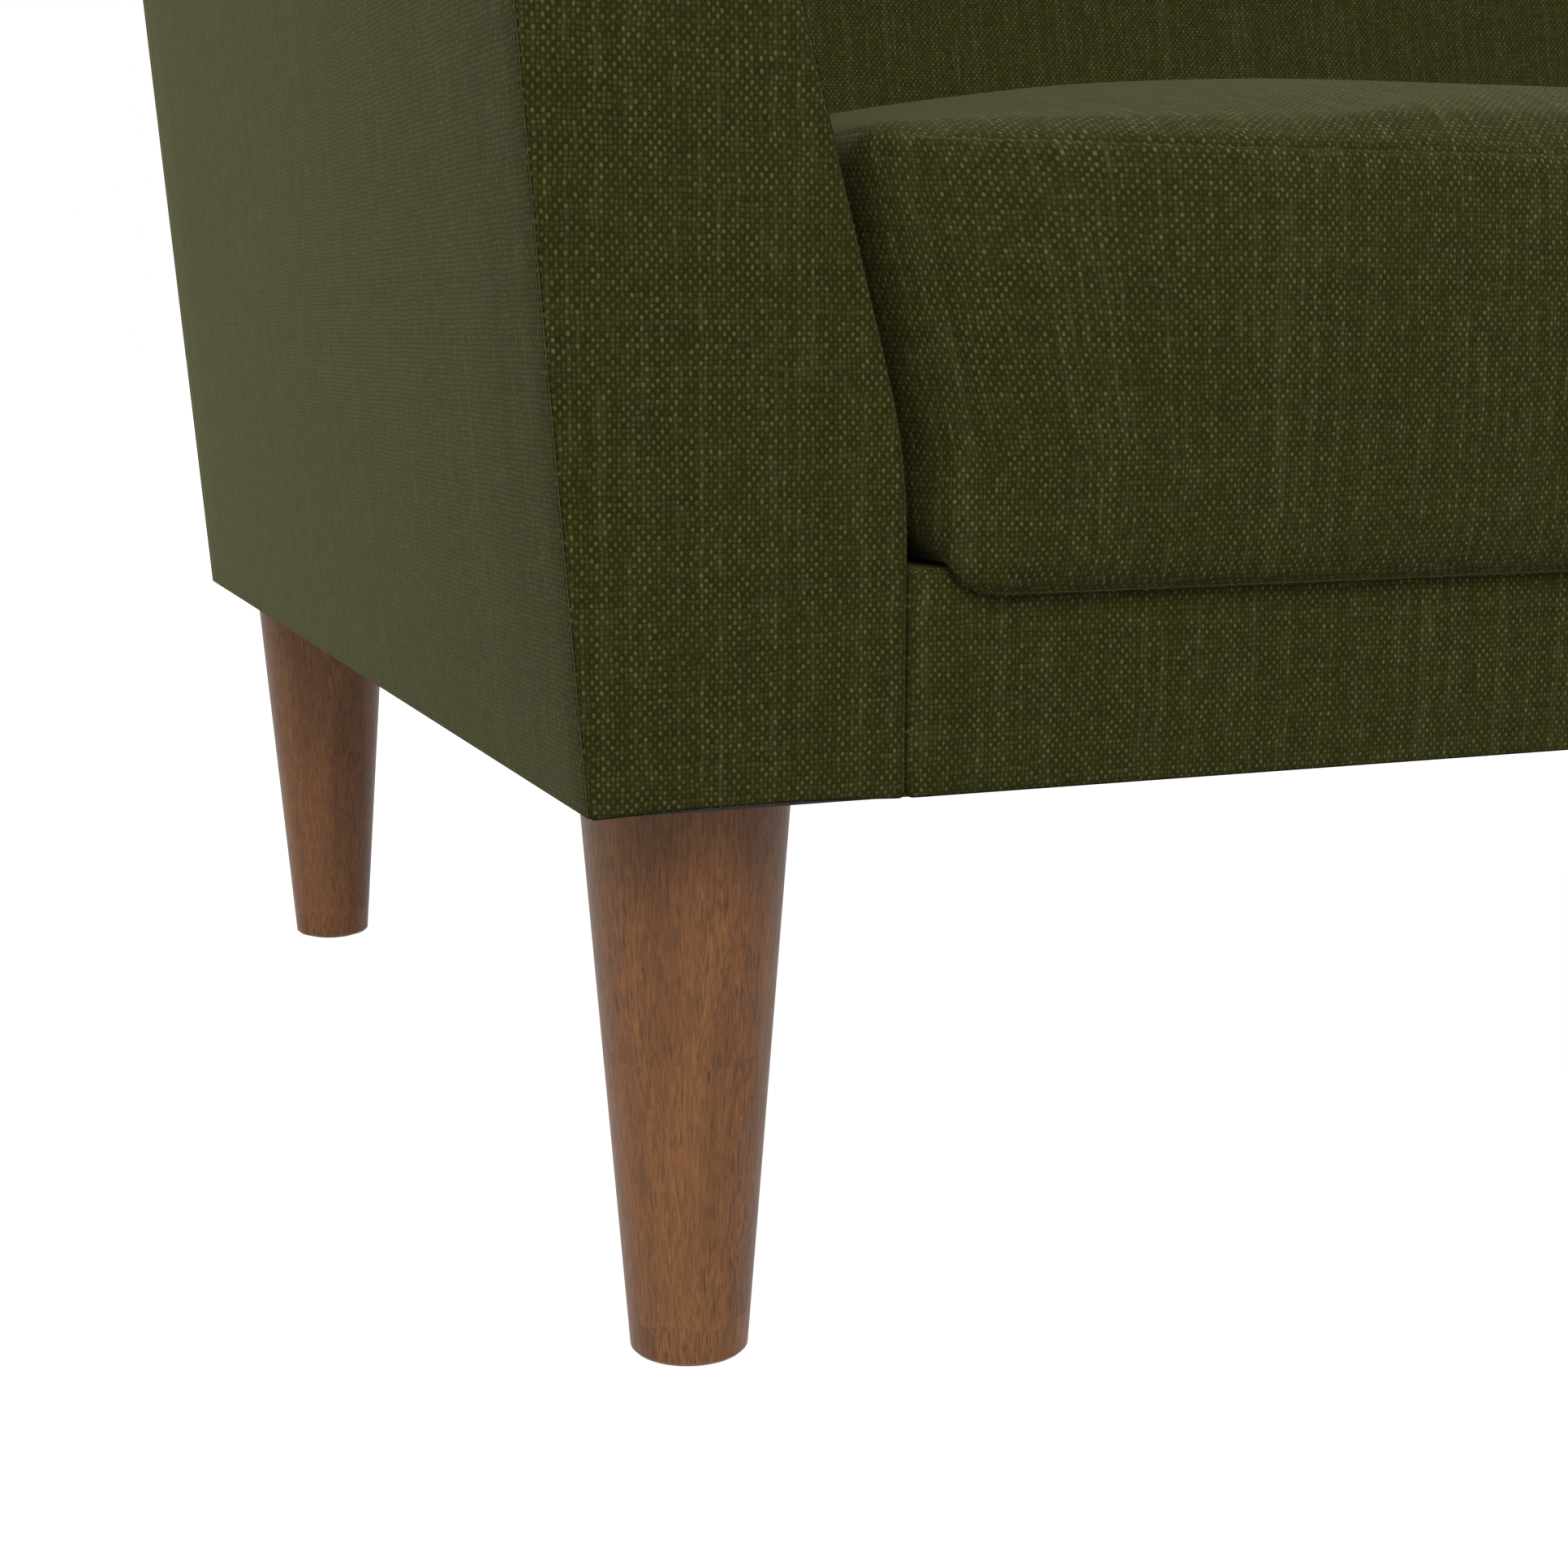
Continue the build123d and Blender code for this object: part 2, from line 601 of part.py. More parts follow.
with BuildPart() as front_rail_cover:
    timber(-seat_half, seat_half, y_front, y_panel, z_body, RAIL_TOP)
    timber(-seat_half, seat_half, y_panel, y_front + RAIL_RETURN, RAIL_TOP - COVER, RAIL_TOP)
    edges = front_rail_cover.edges().filter_by(Axis.X).group_by(Axis.Y)[0]
    fillet(edges.sort_by(Axis.Z)[-1], RAIL_EDGE_RADIUS)
save(front_rail_cover, "front_rail_cover")

with BuildPart() as front_rail_padding:
    timber(-seat_half, seat_half, y_panel, y_frame, z_frame, RAIL_TOP - COVER)
save(front_rail_padding, "front_rail_padding")

y_pad_end = y_seat_rail + PLANK / 2
with BuildPart() as deck_pad:
    timber(-seat_half, seat_half, y_frame, y_pad_end, z_pad, z_cloth)
save(deck_pad, "deck_pad")

with BuildPart() as deck_cloth:
    timber(-seat_half, seat_half, y_front + RAIL_RETURN, y_pad_end, z_cloth, z_deck)
save(deck_cloth, "deck_cloth")

with BuildPart() as dust_cover:
    timber(-half + COVER + DUST_CLOTH, half - COVER - DUST_CLOTH, y_panel, y_frame_back, z_body, z_frame)
    with Locations(*[(x, y, z_body) for x, y in leg_places]):
        Cylinder(PLATE_RADIUS + DUST_CLOTH, PLANK, mode=Mode.SUBTRACT)
save(dust_cover, "dust_cover")

# ---- Back upholstery ----------------------------------------------------------------------------

corner_in = BACK_CORNER_RADIUS - COVER
edge_in = BACK_EDGE_RADIUS - COVER
outer_back = back_body(0, 0, 0, BACK_CORNER_RADIUS, BACK_EDGE_RADIUS)
under_cover = back_body(COVER, COVER, COVER, corner_in, edge_in)
side_hollow = COVER + BACK_EDGE_FOAM
hollow_corner = BACK_CORNER_RADIUS - side_hollow
below = z_deck - PLANK
under_cover_cut = back_body(COVER, COVER, COVER, corner_in, edge_in, bottom=below)
hollow_cut = back_body(web_inset, side_hollow, side_hollow, hollow_corner, 0, bottom=below)

with BuildPart() as inside_back_cover:
    add(outer_back)
    add(under_cover_cut, mode=Mode.SUBTRACT)
save(inside_back_cover, "inside_back_cover")

with BuildPart() as back_foam:
    add(under_cover)
    add(hollow_cut, mode=Mode.SUBTRACT)
save(back_foam, "back_foam")

with BuildPart() as outside_back_cover:
    with BuildSketch(across(y_back)):
        add(back_elevation(-SLIDE_ROOM, 0, z_body, BACK_CORNER_RADIUS))
        add(arm_section(0, 0, 0, z_body, bend=False))
        mirror(arm_section(0, 0, 0, z_body, bend=False), about=Plane.YZ)
    extrude(amount=COVER)
save(outside_back_cover, "outside_back_cover")

# ---- Seat cushions ------------------------------------------------------------------------------

cushion_bottom = RAIL_TOP + SLIDE_ROOM
x_outer = -seat_half + CUSHION_SIDE_GAP
x_inner = -CUSHION_MIDDLE_GAP / 2
y_cushion = y_front - CUSHION_OVERHANG


def cushion_body(inset):
    """Crowned cushion of the left seat, drawn in by an inset."""
    z_seam = cushion_bottom + BOXING
    levels = (
        (cushion_bottom + inset, cushion_bottom, 0, CUSHION_CORNER),
        (z_seam, z_seam, 0, CUSHION_CORNER),
        (z_seam + CROWN - inset, z_seam, CROWN_INSET, CROWN_RADIUS),
    )
    with BuildPart() as body:
        for z, z_rear, drawn_in, radius in levels:
            rear = back_face(-CUSHION_BACK_GAP, z_rear)
            width = x_inner - x_outer - 2 * (drawn_in + inset)
            length = rear - y_cushion - 2 * (drawn_in + inset)
            with BuildSketch(Plane.XY.offset(z)):
                with Locations(((x_inner + x_outer) / 2, (rear + y_cushion) / 2)):
                    RectangleRounded(width, length, radius - inset)
        loft(ruled=True)
    return body.part


core_solid = cushion_body(COVER + SLIDE_ROOM)
with BuildPart() as cushion_cover:
    add(cushion_body(0))
    add(cushion_body(COVER), mode=Mode.SUBTRACT)
save_pair(cushion_cover, "cushion_cover")

with BuildPart() as cushion_core:
    add(core_solid)
save_pair(cushion_core, "cushion_core")

# The zip lies along the middle of the cushion's rear side, which leans with the back.
z_zip = cushion_bottom + BOXING / 2
rear_side = back_plane(z_zip, -CUSHION_BACK_GAP, (x_inner + x_outer) / 2)
with BuildPart() as cushion_zip:
    with BuildSketch(rear_side):
        Rectangle(ZIP_LENGTH, ZIP_WIDTH)
    extrude(amount=ZIP_TAPE)
    with BuildSketch(rear_side.offset(ZIP_TAPE)):
        Rectangle(ZIP_LENGTH, COIL_WIDTH)
    extrude(amount=COIL_HEIGHT)
save_pair(cushion_zip, "cushion_zip")

slider_length, slider_width, slider_shell = SLIDER_SIZE
pull_length, pull_width, pull_thickness = PULL_SIZE
slider_x = ZIP_LENGTH / 2 - slider_length
channel = rear_side.offset(ZIP_TAPE + SLIDE_ROOM)
with BuildPart() as zip_slider:
    with BuildSketch(channel):
        with Locations((slider_x, 0)):
            Rectangle(slider_length, slider_width)
            Rectangle(slider_length, COIL_WIDTH + 2 * SLIDE_ROOM, mode=Mode.SUBTRACT)
    extrude(amount=COIL_HEIGHT)
    with BuildSketch(channel.offset(COIL_HEIGHT)):
        with Locations((slider_x, 0)):
            Rectangle(slider_length, slider_width)
    extrude(amount=slider_shell - pull_thickness)
    with BuildSketch(channel.offset(COIL_HEIGHT + slider_shell - pull_thickness)):
        with Locations((slider_x - pull_length / 2, 0)):
            RectangleRounded(pull_length, pull_width, pull_width / 3)
    extrude(amount=pull_thickness)
save_pair(zip_slider, "zip_slider")
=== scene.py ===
"""Looks of the two-seat sofa: olive linen-look upholstery, loose seat cushions and walnut legs."""

import math

import bpy
import numpy as np
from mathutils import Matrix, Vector
from mathutils.kdtree import KDTree


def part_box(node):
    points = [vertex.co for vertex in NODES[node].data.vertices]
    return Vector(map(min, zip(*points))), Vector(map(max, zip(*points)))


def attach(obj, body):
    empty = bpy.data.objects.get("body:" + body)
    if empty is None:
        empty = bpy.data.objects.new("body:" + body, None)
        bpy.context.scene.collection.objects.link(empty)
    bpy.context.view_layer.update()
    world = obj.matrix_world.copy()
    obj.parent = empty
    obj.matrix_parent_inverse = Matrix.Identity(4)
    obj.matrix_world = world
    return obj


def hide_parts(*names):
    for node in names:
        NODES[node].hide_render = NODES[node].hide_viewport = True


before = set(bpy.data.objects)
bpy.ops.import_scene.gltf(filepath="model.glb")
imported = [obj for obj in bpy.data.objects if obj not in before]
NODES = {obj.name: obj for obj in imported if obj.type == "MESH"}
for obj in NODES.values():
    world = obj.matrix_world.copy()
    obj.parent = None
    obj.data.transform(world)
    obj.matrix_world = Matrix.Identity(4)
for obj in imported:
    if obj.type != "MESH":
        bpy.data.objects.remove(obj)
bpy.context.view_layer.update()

MM = 0.001
RIGID = "frame_and_upholstery"
LEGS = ("front_left", "rear_left", "front_right", "rear_right")

# ---- Places taken from the frame ----------------------------------------------------------------



def corners(node):
    """Lowest and highest corner of a CAD node."""
    return [Vector(corner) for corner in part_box(node)]


def box_middle(node):
    low, high = corners(node)
    return (low + high) / 2


rail_low, rail_high = corners("front_rail_cover")
back_low, back_high = corners("inside_back_cover")
deck_low, deck_high = corners("deck_cloth")
dust_low, dust_high = corners("dust_cover")
cushion_low, cushion_high = corners("left_cushion_cover")
cushion_middle = (cushion_low + cushion_high) / 2

FRONT = corners("left_arm_front_cover")[0].y
SEAT_EDGE = rail_low.x  # inner side of the left arm, below its bend
OUTER_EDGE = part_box("dust_cover")[0][0] - 4 * MM  # foot of the left arm's outer side
BODY_BOTTOM = rail_low.z

# Slopes of the two sides of the arms and of the inside back
OUTER_SLOPE = 0.077
INNER_LEAN = 0.262
BEND_HEIGHT = 314 * MM
BACK_LEAN = math.tan(math.radians(13))

# Seat cushions
BOXING = 135.2 * MM
CROWN = 48 * MM
CROWN_REACH = 180 * MM
CAP = 6 * MM  # how far the filling may push the cover out
CORNER = 28 * MM
SWELL_ROOM = 3 * MM
LIP_DROP = 10 * MM
FACE_SIZE = 6 * MM
ARM_FLARE = 160 * MM  # how far from the arm the cushion's cloth leans with it
z_seam = cushion_low.z + BOXING

# Weave
WARP_PITCH = 1.52 * MM
WEFT_PITCH = 1.68 * MM


# ---- Working in edit mode -----------------------------------------------------------------------


def only(piece):
    """Make a piece the one selected object."""
    bpy.ops.object.select_all(action="DESELECT")
    piece.select_set(True)
    bpy.context.view_layer.objects.active = piece


def copy_of(node, name):
    """A new piece with the shape of a CAD node, its loose triangles merged into clean faces."""
    bpy.ops.object.select_all(action="DESELECT")
    piece = bpy.data.objects.new(name, NODES[node].data.copy())
    bpy.context.scene.collection.objects.link(piece)
    piece.data.materials.clear()
    only(piece)
    if piece.data.has_custom_normals:
        bpy.ops.mesh.customdata_custom_splitnormals_clear()
    bpy.ops.object.mode_set(mode="EDIT")
    bpy.ops.mesh.select_all(action="SELECT")
    bpy.ops.mesh.remove_doubles(threshold=0.01 * MM)
    bpy.ops.mesh.dissolve_limited(angle_limit=math.radians(0.4))
    bpy.ops.object.mode_set(mode="OBJECT")
    return piece


def slice_up(piece, axis, step):
    """Cut a piece across an axis into strips of about one width."""
    places = [v.co[axis] for v in piece.data.vertices]
    low, high = min(places), max(places)
    count = max(1, round((high - low) / step))
    normal = Vector((0, 0, 0))
    normal[axis] = 1
    only(piece)
    bpy.ops.object.mode_set(mode="EDIT")
    for n in range(1, count):
        bpy.ops.mesh.select_all(action="SELECT")
        bpy.ops.mesh.bisect(plane_co=normal * (low + (high - low) * n / count), plane_no=normal)
    bpy.ops.object.mode_set(mode="OBJECT")


def round_edges(piece, width, segments=3, angle=50):
    """Round the sharp edges of a piece."""
    only(piece)
    bevel = piece.modifiers.new("rounding", "BEVEL")
    bevel.width = width
    bevel.segments = segments
    bevel.limit_method = "ANGLE"
    bevel.angle_limit = math.radians(angle)
    bevel.use_clamp_overlap = False
    bpy.ops.object.modifier_apply(modifier=bevel.name)


def coordinates(piece):
    flat = np.empty(len(piece.data.vertices) * 3)
    piece.data.vertices.foreach_get("co", flat)
    return flat.reshape(-1, 3)


def place(piece, points):
    piece.data.vertices.foreach_set("co", np.ascontiguousarray(points, dtype=float).ravel())
    piece.data.update()


def normals(piece):
    flat = np.empty(len(piece.data.vertices) * 3)
    piece.data.vertices.foreach_get("normal", flat)
    return flat.reshape(-1, 3)


def ease(t):
    t = np.clip(t, 0, 1)
    return t * t * (3 - 2 * t)


def puff(piece, facing, amount, reach, ripple=0.0, wave=0.09):
    """Swell the faces that look one way, least at their edges, with a slow ripple as in real cloth."""
    mesh = piece.data
    facing = Vector(facing).normalized()
    inside = np.zeros(len(mesh.vertices), int)
    total = np.zeros(len(mesh.vertices), int)
    for face in mesh.polygons:
        here = face.normal.dot(facing) > 0.93
        for v in face.vertices:
            total[v] += 1
            inside[v] += here
    edge = np.flatnonzero((inside > 0) & (inside < total))
    middle = np.flatnonzero((inside > 0) & (inside == total))
    tree = KDTree(len(edge))
    for i, v in enumerate(edge):
        tree.insert(mesh.vertices[v].co, i)
    tree.balance()
    points = coordinates(piece)
    for v in middle:
        far = tree.find(mesh.vertices[v].co)[2]
        x, y, z = points[v] / wave
        slow = math.sin(x * 1.3 + 2 * math.sin(z * 0.7)) * math.sin(y * 1.1 + z * 0.9 + 1.7)
        points[v] += np.array(facing) * (amount + ripple * slow) * float(ease(far / reach))
    place(piece, points)


def seam(piece, point, normal, depth, half_width=1.4 * MM, where=None):
    """Sew a groove along a plane: three cuts, and the middle one drawn in."""
    point, normal = Vector(point), Vector(normal).normalized()
    only(piece)
    bpy.ops.object.mode_set(mode="EDIT")
    for shift in (-half_width, 0, half_width):
        bpy.ops.mesh.select_all(action="SELECT")
        bpy.ops.mesh.bisect(plane_co=point + normal * shift, plane_no=normal)
    bpy.ops.object.mode_set(mode="OBJECT")
    points, outward = coordinates(piece), normals(piece)
    away = np.abs((points - np.array(point)) @ np.array(normal))
    line = away < 0.02 * MM
    if where is not None:
        line &= where(points, outward)
    points[line] -= outward[line] * depth
    place(piece, points)


def smooth(piece, angle=40):
    only(piece)
    bpy.ops.object.shade_smooth_by_angle(angle=math.radians(angle))


def mirrored(piece, name):
    """The same piece for the right-hand side, with its own mesh."""
    twin = piece.copy()
    twin.data = piece.data.copy()
    twin.name = name
    twin.data.name = name
    bpy.context.scene.collection.objects.link(twin)
    points = coordinates(twin)
    points[:, 0] *= -1
    place(twin, points)
    only(twin)
    bpy.ops.object.mode_set(mode="EDIT")
    bpy.ops.mesh.select_all(action="SELECT")
    bpy.ops.mesh.flip_normals()
    bpy.ops.object.mode_set(mode="OBJECT")
    return twin


def lay_cloth(piece):
    """UV map in metres along the cloth: threads run level and upright on every panel."""
    mesh = piece.data
    layer = mesh.uv_layers.get("weave") or mesh.uv_layers.new(name="weave")
    for face in mesh.polygons:
        ax, ay, az = (abs(c) for c in face.normal)
        for loop in face.loop_indices:
            x, y, z = mesh.vertices[mesh.loops[loop].vertex_index].co
            if az >= ax and az >= ay:
                layer.data[loop].uv = (x, y)
            elif ax >= ay:
                layer.data[loop].uv = (y, z * math.hypot(1, OUTER_SLOPE))
            else:
                layer.data[loop].uv = (x, z)


# ---- Material building blocks -------------------------------------------------------------------


class Nodes:
    """Short ways to add and join shader nodes."""

    def __init__(self, name):
        self.material = bpy.data.materials.new(name)
        self.material.use_nodes = True
        self.tree = self.material.node_tree
        self.tree.nodes.clear()
        self.shader = self.add("ShaderNodeBsdfPrincipled")
        out = self.add("ShaderNodeOutputMaterial")
        self.join(self.shader.outputs[0], out.inputs["Surface"])

    def add(self, kind, **settings):
        node = self.tree.nodes.new(kind)
        for key, value in settings.items():
            setattr(node, key, value)
        return node

    def join(self, source, socket):
        self.tree.links.new(source, socket)

    def feed(self, socket, value):
        if isinstance(value, (int, float, tuple)):
            socket.default_value = value
        else:
            self.join(value, socket)

    def three(self, vector):
        """The three numbers of a vector."""
        node = self.add("ShaderNodeSeparateXYZ")
        self.join(vector, node.inputs[0])
        return node.outputs[0], node.outputs[1], node.outputs[2]

    def vector(self, x, y, z=0.0):
        node = self.add("ShaderNodeCombineXYZ")
        for socket, value in zip(node.inputs, (x, y, z)):
            self.feed(socket, value)
        return node.outputs[0]

    def math(self, operation, a, b=0.0, c=0.0, clamp=False):
        node = self.add("ShaderNodeMath", operation=operation, use_clamp=clamp)
        for socket, value in zip(node.inputs, (a, b, c)):
            self.feed(socket, value)
        return node.outputs[0]

    def mix(self, share, a, b, blend="MIX"):
        node = self.add("ShaderNodeMix", data_type="RGBA", blend_type=blend)
        self.feed(node.inputs[0], share)
        self.feed(node.inputs[6], a)
        self.feed(node.inputs[7], b)
        return node.outputs[2]

    def noise(self, vector, scale, detail=2.0, roughness=0.5):
        node = self.add("ShaderNodeTexNoise")
        self.join(vector, node.inputs["Vector"])
        node.inputs["Scale"].default_value = scale
        node.inputs["Detail"].default_value = detail
        node.inputs["Roughness"].default_value = roughness
        return node.outputs["Fac"]

    def chance(self, value, seed=0.0):
        """One steady random number for each whole value."""
        node = self.add("ShaderNodeTexWhiteNoise", noise_dimensions="2D")
        self.join(self.vector(value, seed), node.inputs["Vector"])
        return node.outputs["Value"]

    def remap(self, value, low, high, to_low=0.0, to_high=1.0):
        node = self.add("ShaderNodeMapRange")
        for socket, number in zip(node.inputs, (value, low, high, to_low, to_high)):
            self.feed(socket, number)
        return node.outputs[0]

    def object_place(self, centre=(0, 0, 0), scale=(1, 1, 1)):
        """Places in the object, counted from a centre."""
        place_node = self.add("ShaderNodeTexCoord")
        mapping = self.add("ShaderNodeMapping", vector_type="POINT")
        mapping.inputs["Location"].default_value = [-c * s for c, s in zip(centre, scale)]
        mapping.inputs["Scale"].default_value = scale
        self.join(place_node.outputs["Object"], mapping.inputs["Vector"])
        return mapping.outputs[0]

    def bump(self, height, strength, distance, below=None):
        node = self.add("ShaderNodeBump")
        node.inputs["Strength"].default_value = strength
        node.inputs["Distance"].default_value = distance
        self.join(height, node.inputs["Height"])
        if below is not None:
            self.join(below, node.inputs["Normal"])
        return node.outputs[0]

    def finish(self, colour, roughness, normal=None, **fixed):
        self.feed(self.shader.inputs["Base Color"], colour)
        self.feed(self.shader.inputs["Roughness"], roughness)
        if normal is not None:
            self.join(normal, self.shader.inputs["Normal"])
        for name, value in fixed.items():
            self.shader.inputs[name.replace("_", " ")].default_value = value
        return self.material


def linear(r, g, b):
    """Screen colour 0-255 to a linear colour."""
    def one(c):
        c /= 255
        return c / 12.92 if c <= 0.04045 else ((c + 0.055) / 1.055) ** 2.4
    return (one(r), one(g), one(b), 1.0)


# ---- Fabric -------------------------------------------------------------------------------------


def linen():
    """Plain weave: a yellow-olive ground with grey threads showing as upright flecks, and slubs."""
    n = Nodes("olive_linen")
    uv = n.add("ShaderNodeUVMap", uv_map="weave").outputs[0]
    u, v, _ = n.three(uv)

    # Threads wander a little from straight.
    moved = n.add("ShaderNodeVectorMath", operation="ADD")
    n.join(uv, moved.inputs[0])
    moved.inputs[1].default_value = (3.1, 7.7, 0.0)
    wander_u = n.math("MULTIPLY", n.math("SUBTRACT", n.noise(uv, 90.0), 0.5), 2.2 * MM)
    wander_v = n.math("MULTIPLY", n.math("SUBTRACT", n.noise(moved.outputs[0], 80.0), 0.5), 2.4 * MM)
    across = n.math("DIVIDE", n.math("ADD", u, wander_u), WARP_PITCH)
    along = n.math("DIVIDE", n.math("ADD", v, wander_v), WEFT_PITCH)
    warp, weft = n.math("FLOOR", across), n.math("FLOOR", along)
    in_warp, in_weft = n.math("FRACT", across), n.math("FRACT", along)
    grey = n.math("ABSOLUTE", n.math("MODULO", n.math("ADD", warp, weft), 2.0))

    # Each float is a small pillow that dips where it goes under its neighbour.
    hump_u = n.math("SINE", n.math("MULTIPLY", in_warp, math.pi))
    hump_v = n.math("SINE", n.math("MULTIPLY", in_weft, math.pi))
    pillow = n.math("POWER", n.math("MULTIPLY", hump_u, hump_v), 0.7)

    def streaks(thread, other, stretch, seed):
        """Thick and thin stretches along single threads."""
        run = n.math("MULTIPLY", other, stretch)
        return n.noise(n.vector(run, n.math("MULTIPLY", n.chance(thread, seed), 97.0)), 1.0, 2.0, 0.6)

    warp_tone = n.math("MULTIPLY_ADD", n.chance(warp, 3.0), 0.45, streaks(warp, v, 70.0, 1.0))
    weft_tone = n.math("MULTIPLY_ADD", n.chance(weft, 4.0), 0.25, streaks(weft, u, 45.0, 2.0))
    cell = n.chance(n.math("MULTIPLY_ADD", weft, 61.7, warp), 5.0)
    patch = n.noise(uv, 75.0, 3.0, 0.6)

    ground = n.mix(n.remap(patch, 0.36, 0.64), linear(20, 19, 0), linear(25, 24, 0))
    ground = n.mix(n.remap(weft_tone, 0.3, 0.95, 0.0, 0.55), ground, linear(34, 33, 5))
    fleck = n.mix(n.remap(cell, 0.0, 1.0), linear(53, 53, 34), linear(65, 65, 38))
    narrow = n.math("MULTIPLY", n.math("POWER", hump_u, 1.6), n.math("POWER", hump_v, 0.8))
    shown = n.remap(warp_tone, 0.32, 1.0, 0.35, 1.1)
    shown = n.math("MULTIPLY", shown, n.remap(cell, 0.0, 1.0, 0.5, 1.1))
    shown = n.math("MULTIPLY", shown, n.math("MULTIPLY", grey, narrow), clamp=True)
    stray = n.math("MULTIPLY", n.math("SUBTRACT", 1.0, grey), n.remap(cell, 0.6, 1.0, 0.0, 0.3))
    shown = n.math("MAXIMUM", shown, n.math("MULTIPLY", stray, n.math("MULTIPLY", hump_u, hump_v)))
    streak = n.remap(warp_tone, 0.8, 1.2, 0.0, 0.35)
    colour = n.mix(n.math("MAXIMUM", shown, streak), ground, fleck)
    # Painted shade: the colour is darkened down to 0.8 in the dips between floats, where the threads go
    # under.
    gap = n.remap(pillow, 0.0, 0.5, 0.8, 1.0)
    painted_gap_shade = n.add("ShaderNodeCombineColor")
    for socket in painted_gap_shade.inputs[:3]:
        n.join(gap, socket)
    colour = n.mix(1.0, colour, painted_gap_shade.outputs[0], "MULTIPLY")

    height = n.math("MULTIPLY_ADD", pillow, 0.8, n.math("MULTIPLY", warp_tone, 0.25))
    fine = n.bump(height, 0.45, 0.25 * MM)
    fuzz = n.bump(n.noise(uv, 2600.0, 2.0, 0.7), 0.25, 0.08 * MM, fine)
    return n.finish(
        colour, n.remap(patch, 0.3, 0.7, 0.88, 0.97), fuzz,
        Sheen_Weight=0.07, Sheen_Roughness=0.32, Sheen_Tint=(0.78, 0.75, 0.32, 1.0),
        Specular_IOR_Level=0.06,
    )


def plain_cloth(name, colour, pitch, paler, rough=0.92, strength=0.6):
    """Simple close-woven or felted cloth on object coordinates."""
    n = Nodes(name)
    where = n.object_place()
    rows = [n.math("SINE", n.math("MULTIPLY", out, 2 * math.pi / pitch)) for out in n.three(where)]
    weave = n.math("MULTIPLY", n.math("ADD", rows[0], rows[2]), n.math("ADD", rows[1], rows[2]))
    speck = n.noise(where, 900.0, 3.0, 0.7)
    blotch = n.noise(where, 14.0, 2.0)
    tone = n.mix(n.remap(speck, 0.35, 0.7), colour, paler)
    tone = n.mix(n.remap(blotch, 0.35, 0.7, 0.0, 0.35), tone, colour)
    height = n.math("MULTIPLY_ADD", weave, 0.25, speck)
    return n.finish(tone, rough, n.bump(height, strength, 0.2 * MM), Sheen_Weight=0.2)


def foam(name):
    """Open-cell foam, a little yellowed in places."""
    n = Nodes(name)
    where = n.object_place()
    cells = n.add("ShaderNodeTexVoronoi")
    n.join(where, cells.inputs["Vector"])
    cells.inputs["Scale"].default_value = 650.0
    open_cells = cells.outputs["Distance"]
    tone = n.mix(n.remap(open_cells, 0.1, 0.6), linear(196, 178, 132), linear(238, 226, 190))
    tone = n.mix(n.remap(n.noise(where, 9.0), 0.4, 0.7, 0.0, 0.4), tone, linear(222, 196, 138))
    return n.finish(tone, 0.95, n.bump(open_cells, 0.7, 0.4 * MM))


# ---- Wood, board and metal ----------------------------------------------------------------------


def walnut(name, centre):
    """Turned leg: upright staves glued side by side, finger-jointed end to end, satin lacquer."""
    n = Nodes(name)
    x, y, z = n.three(n.object_place(centre=centre))
    stave_width, stave_start = 11.5 * MM, 5 * MM
    low_joint, high_joint, finger = 13.5 * MM, 109 * MM, 3 * MM
    stave = n.math("FLOOR", n.math("DIVIDE", n.math("ADD", x, stave_start), stave_width))
    odd = n.math("ABSOLUTE", n.math("MODULO", stave, 2.0))
    uneven = n.math("MULTIPLY", n.chance(stave, 9.0), 2.5 * MM)
    joint_height = n.math("MULTIPLY_ADD", odd, finger, uneven)
    above = n.math("GREATER_THAN", z, n.math("ADD", joint_height, high_joint))
    foot = n.math("GREATER_THAN", z, n.math("ADD", joint_height, low_joint))
    board = n.math("MULTIPLY_ADD", n.math("ADD", above, foot), 17.0, stave)
    tone = n.chance(board, 1.0)

    # Grain runs up the leg; its rings bend into arches where a stave was cut off the quarter.
    shift = n.math("MULTIPLY", n.chance(board, 2.0), 3.0)
    across = n.math("ADD", n.math("MULTIPLY", x, 42.0), shift)
    grain_place = n.vector(across, n.math("MULTIPLY", y, 42.0), n.math("MULTIPLY_ADD", z, 4.2, shift))
    rings = n.noise(grain_place, 2.2, 4.0, 0.62)
    bands = n.math("SINE", n.math("MULTIPLY", rings, 90.0))
    fibre_place = n.vector(x, y, n.math("MULTIPLY_ADD", z, 0.035, shift))
    fibre = n.noise(fibre_place, 1500.0, 3.0, 0.6)
    pore = n.remap(n.noise(fibre_place, 1150.0, 2.0, 0.5), 0.60, 0.70)

    base = n.mix(n.remap(rings, 0.3, 0.7), linear(78, 46, 20), linear(102, 64, 32))
    base = n.mix(n.remap(bands, -0.2, 1.0, 0.0, 0.6), base, linear(52, 28, 12))
    base = n.mix(n.remap(tone, 0.0, 1.0, 0.0, 0.38), base, linear(108, 70, 36))
    base = n.mix(n.remap(fibre, 0.35, 0.7, 0.0, 0.5), base, linear(50, 27, 12))
    base = n.mix(n.math("MULTIPLY", pore, 0.5), base, linear(28, 14, 7))
    height = n.math("SUBTRACT", n.math("MULTIPLY", fibre, 0.3), pore)
    return n.finish(
        base, n.remap(fibre, 0.3, 0.7, 0.42, 0.52), n.bump(height, 0.35, 0.12 * MM),
        Coat_Weight=0.03, Coat_Roughness=0.35, Specular_IOR_Level=0.2,
    )


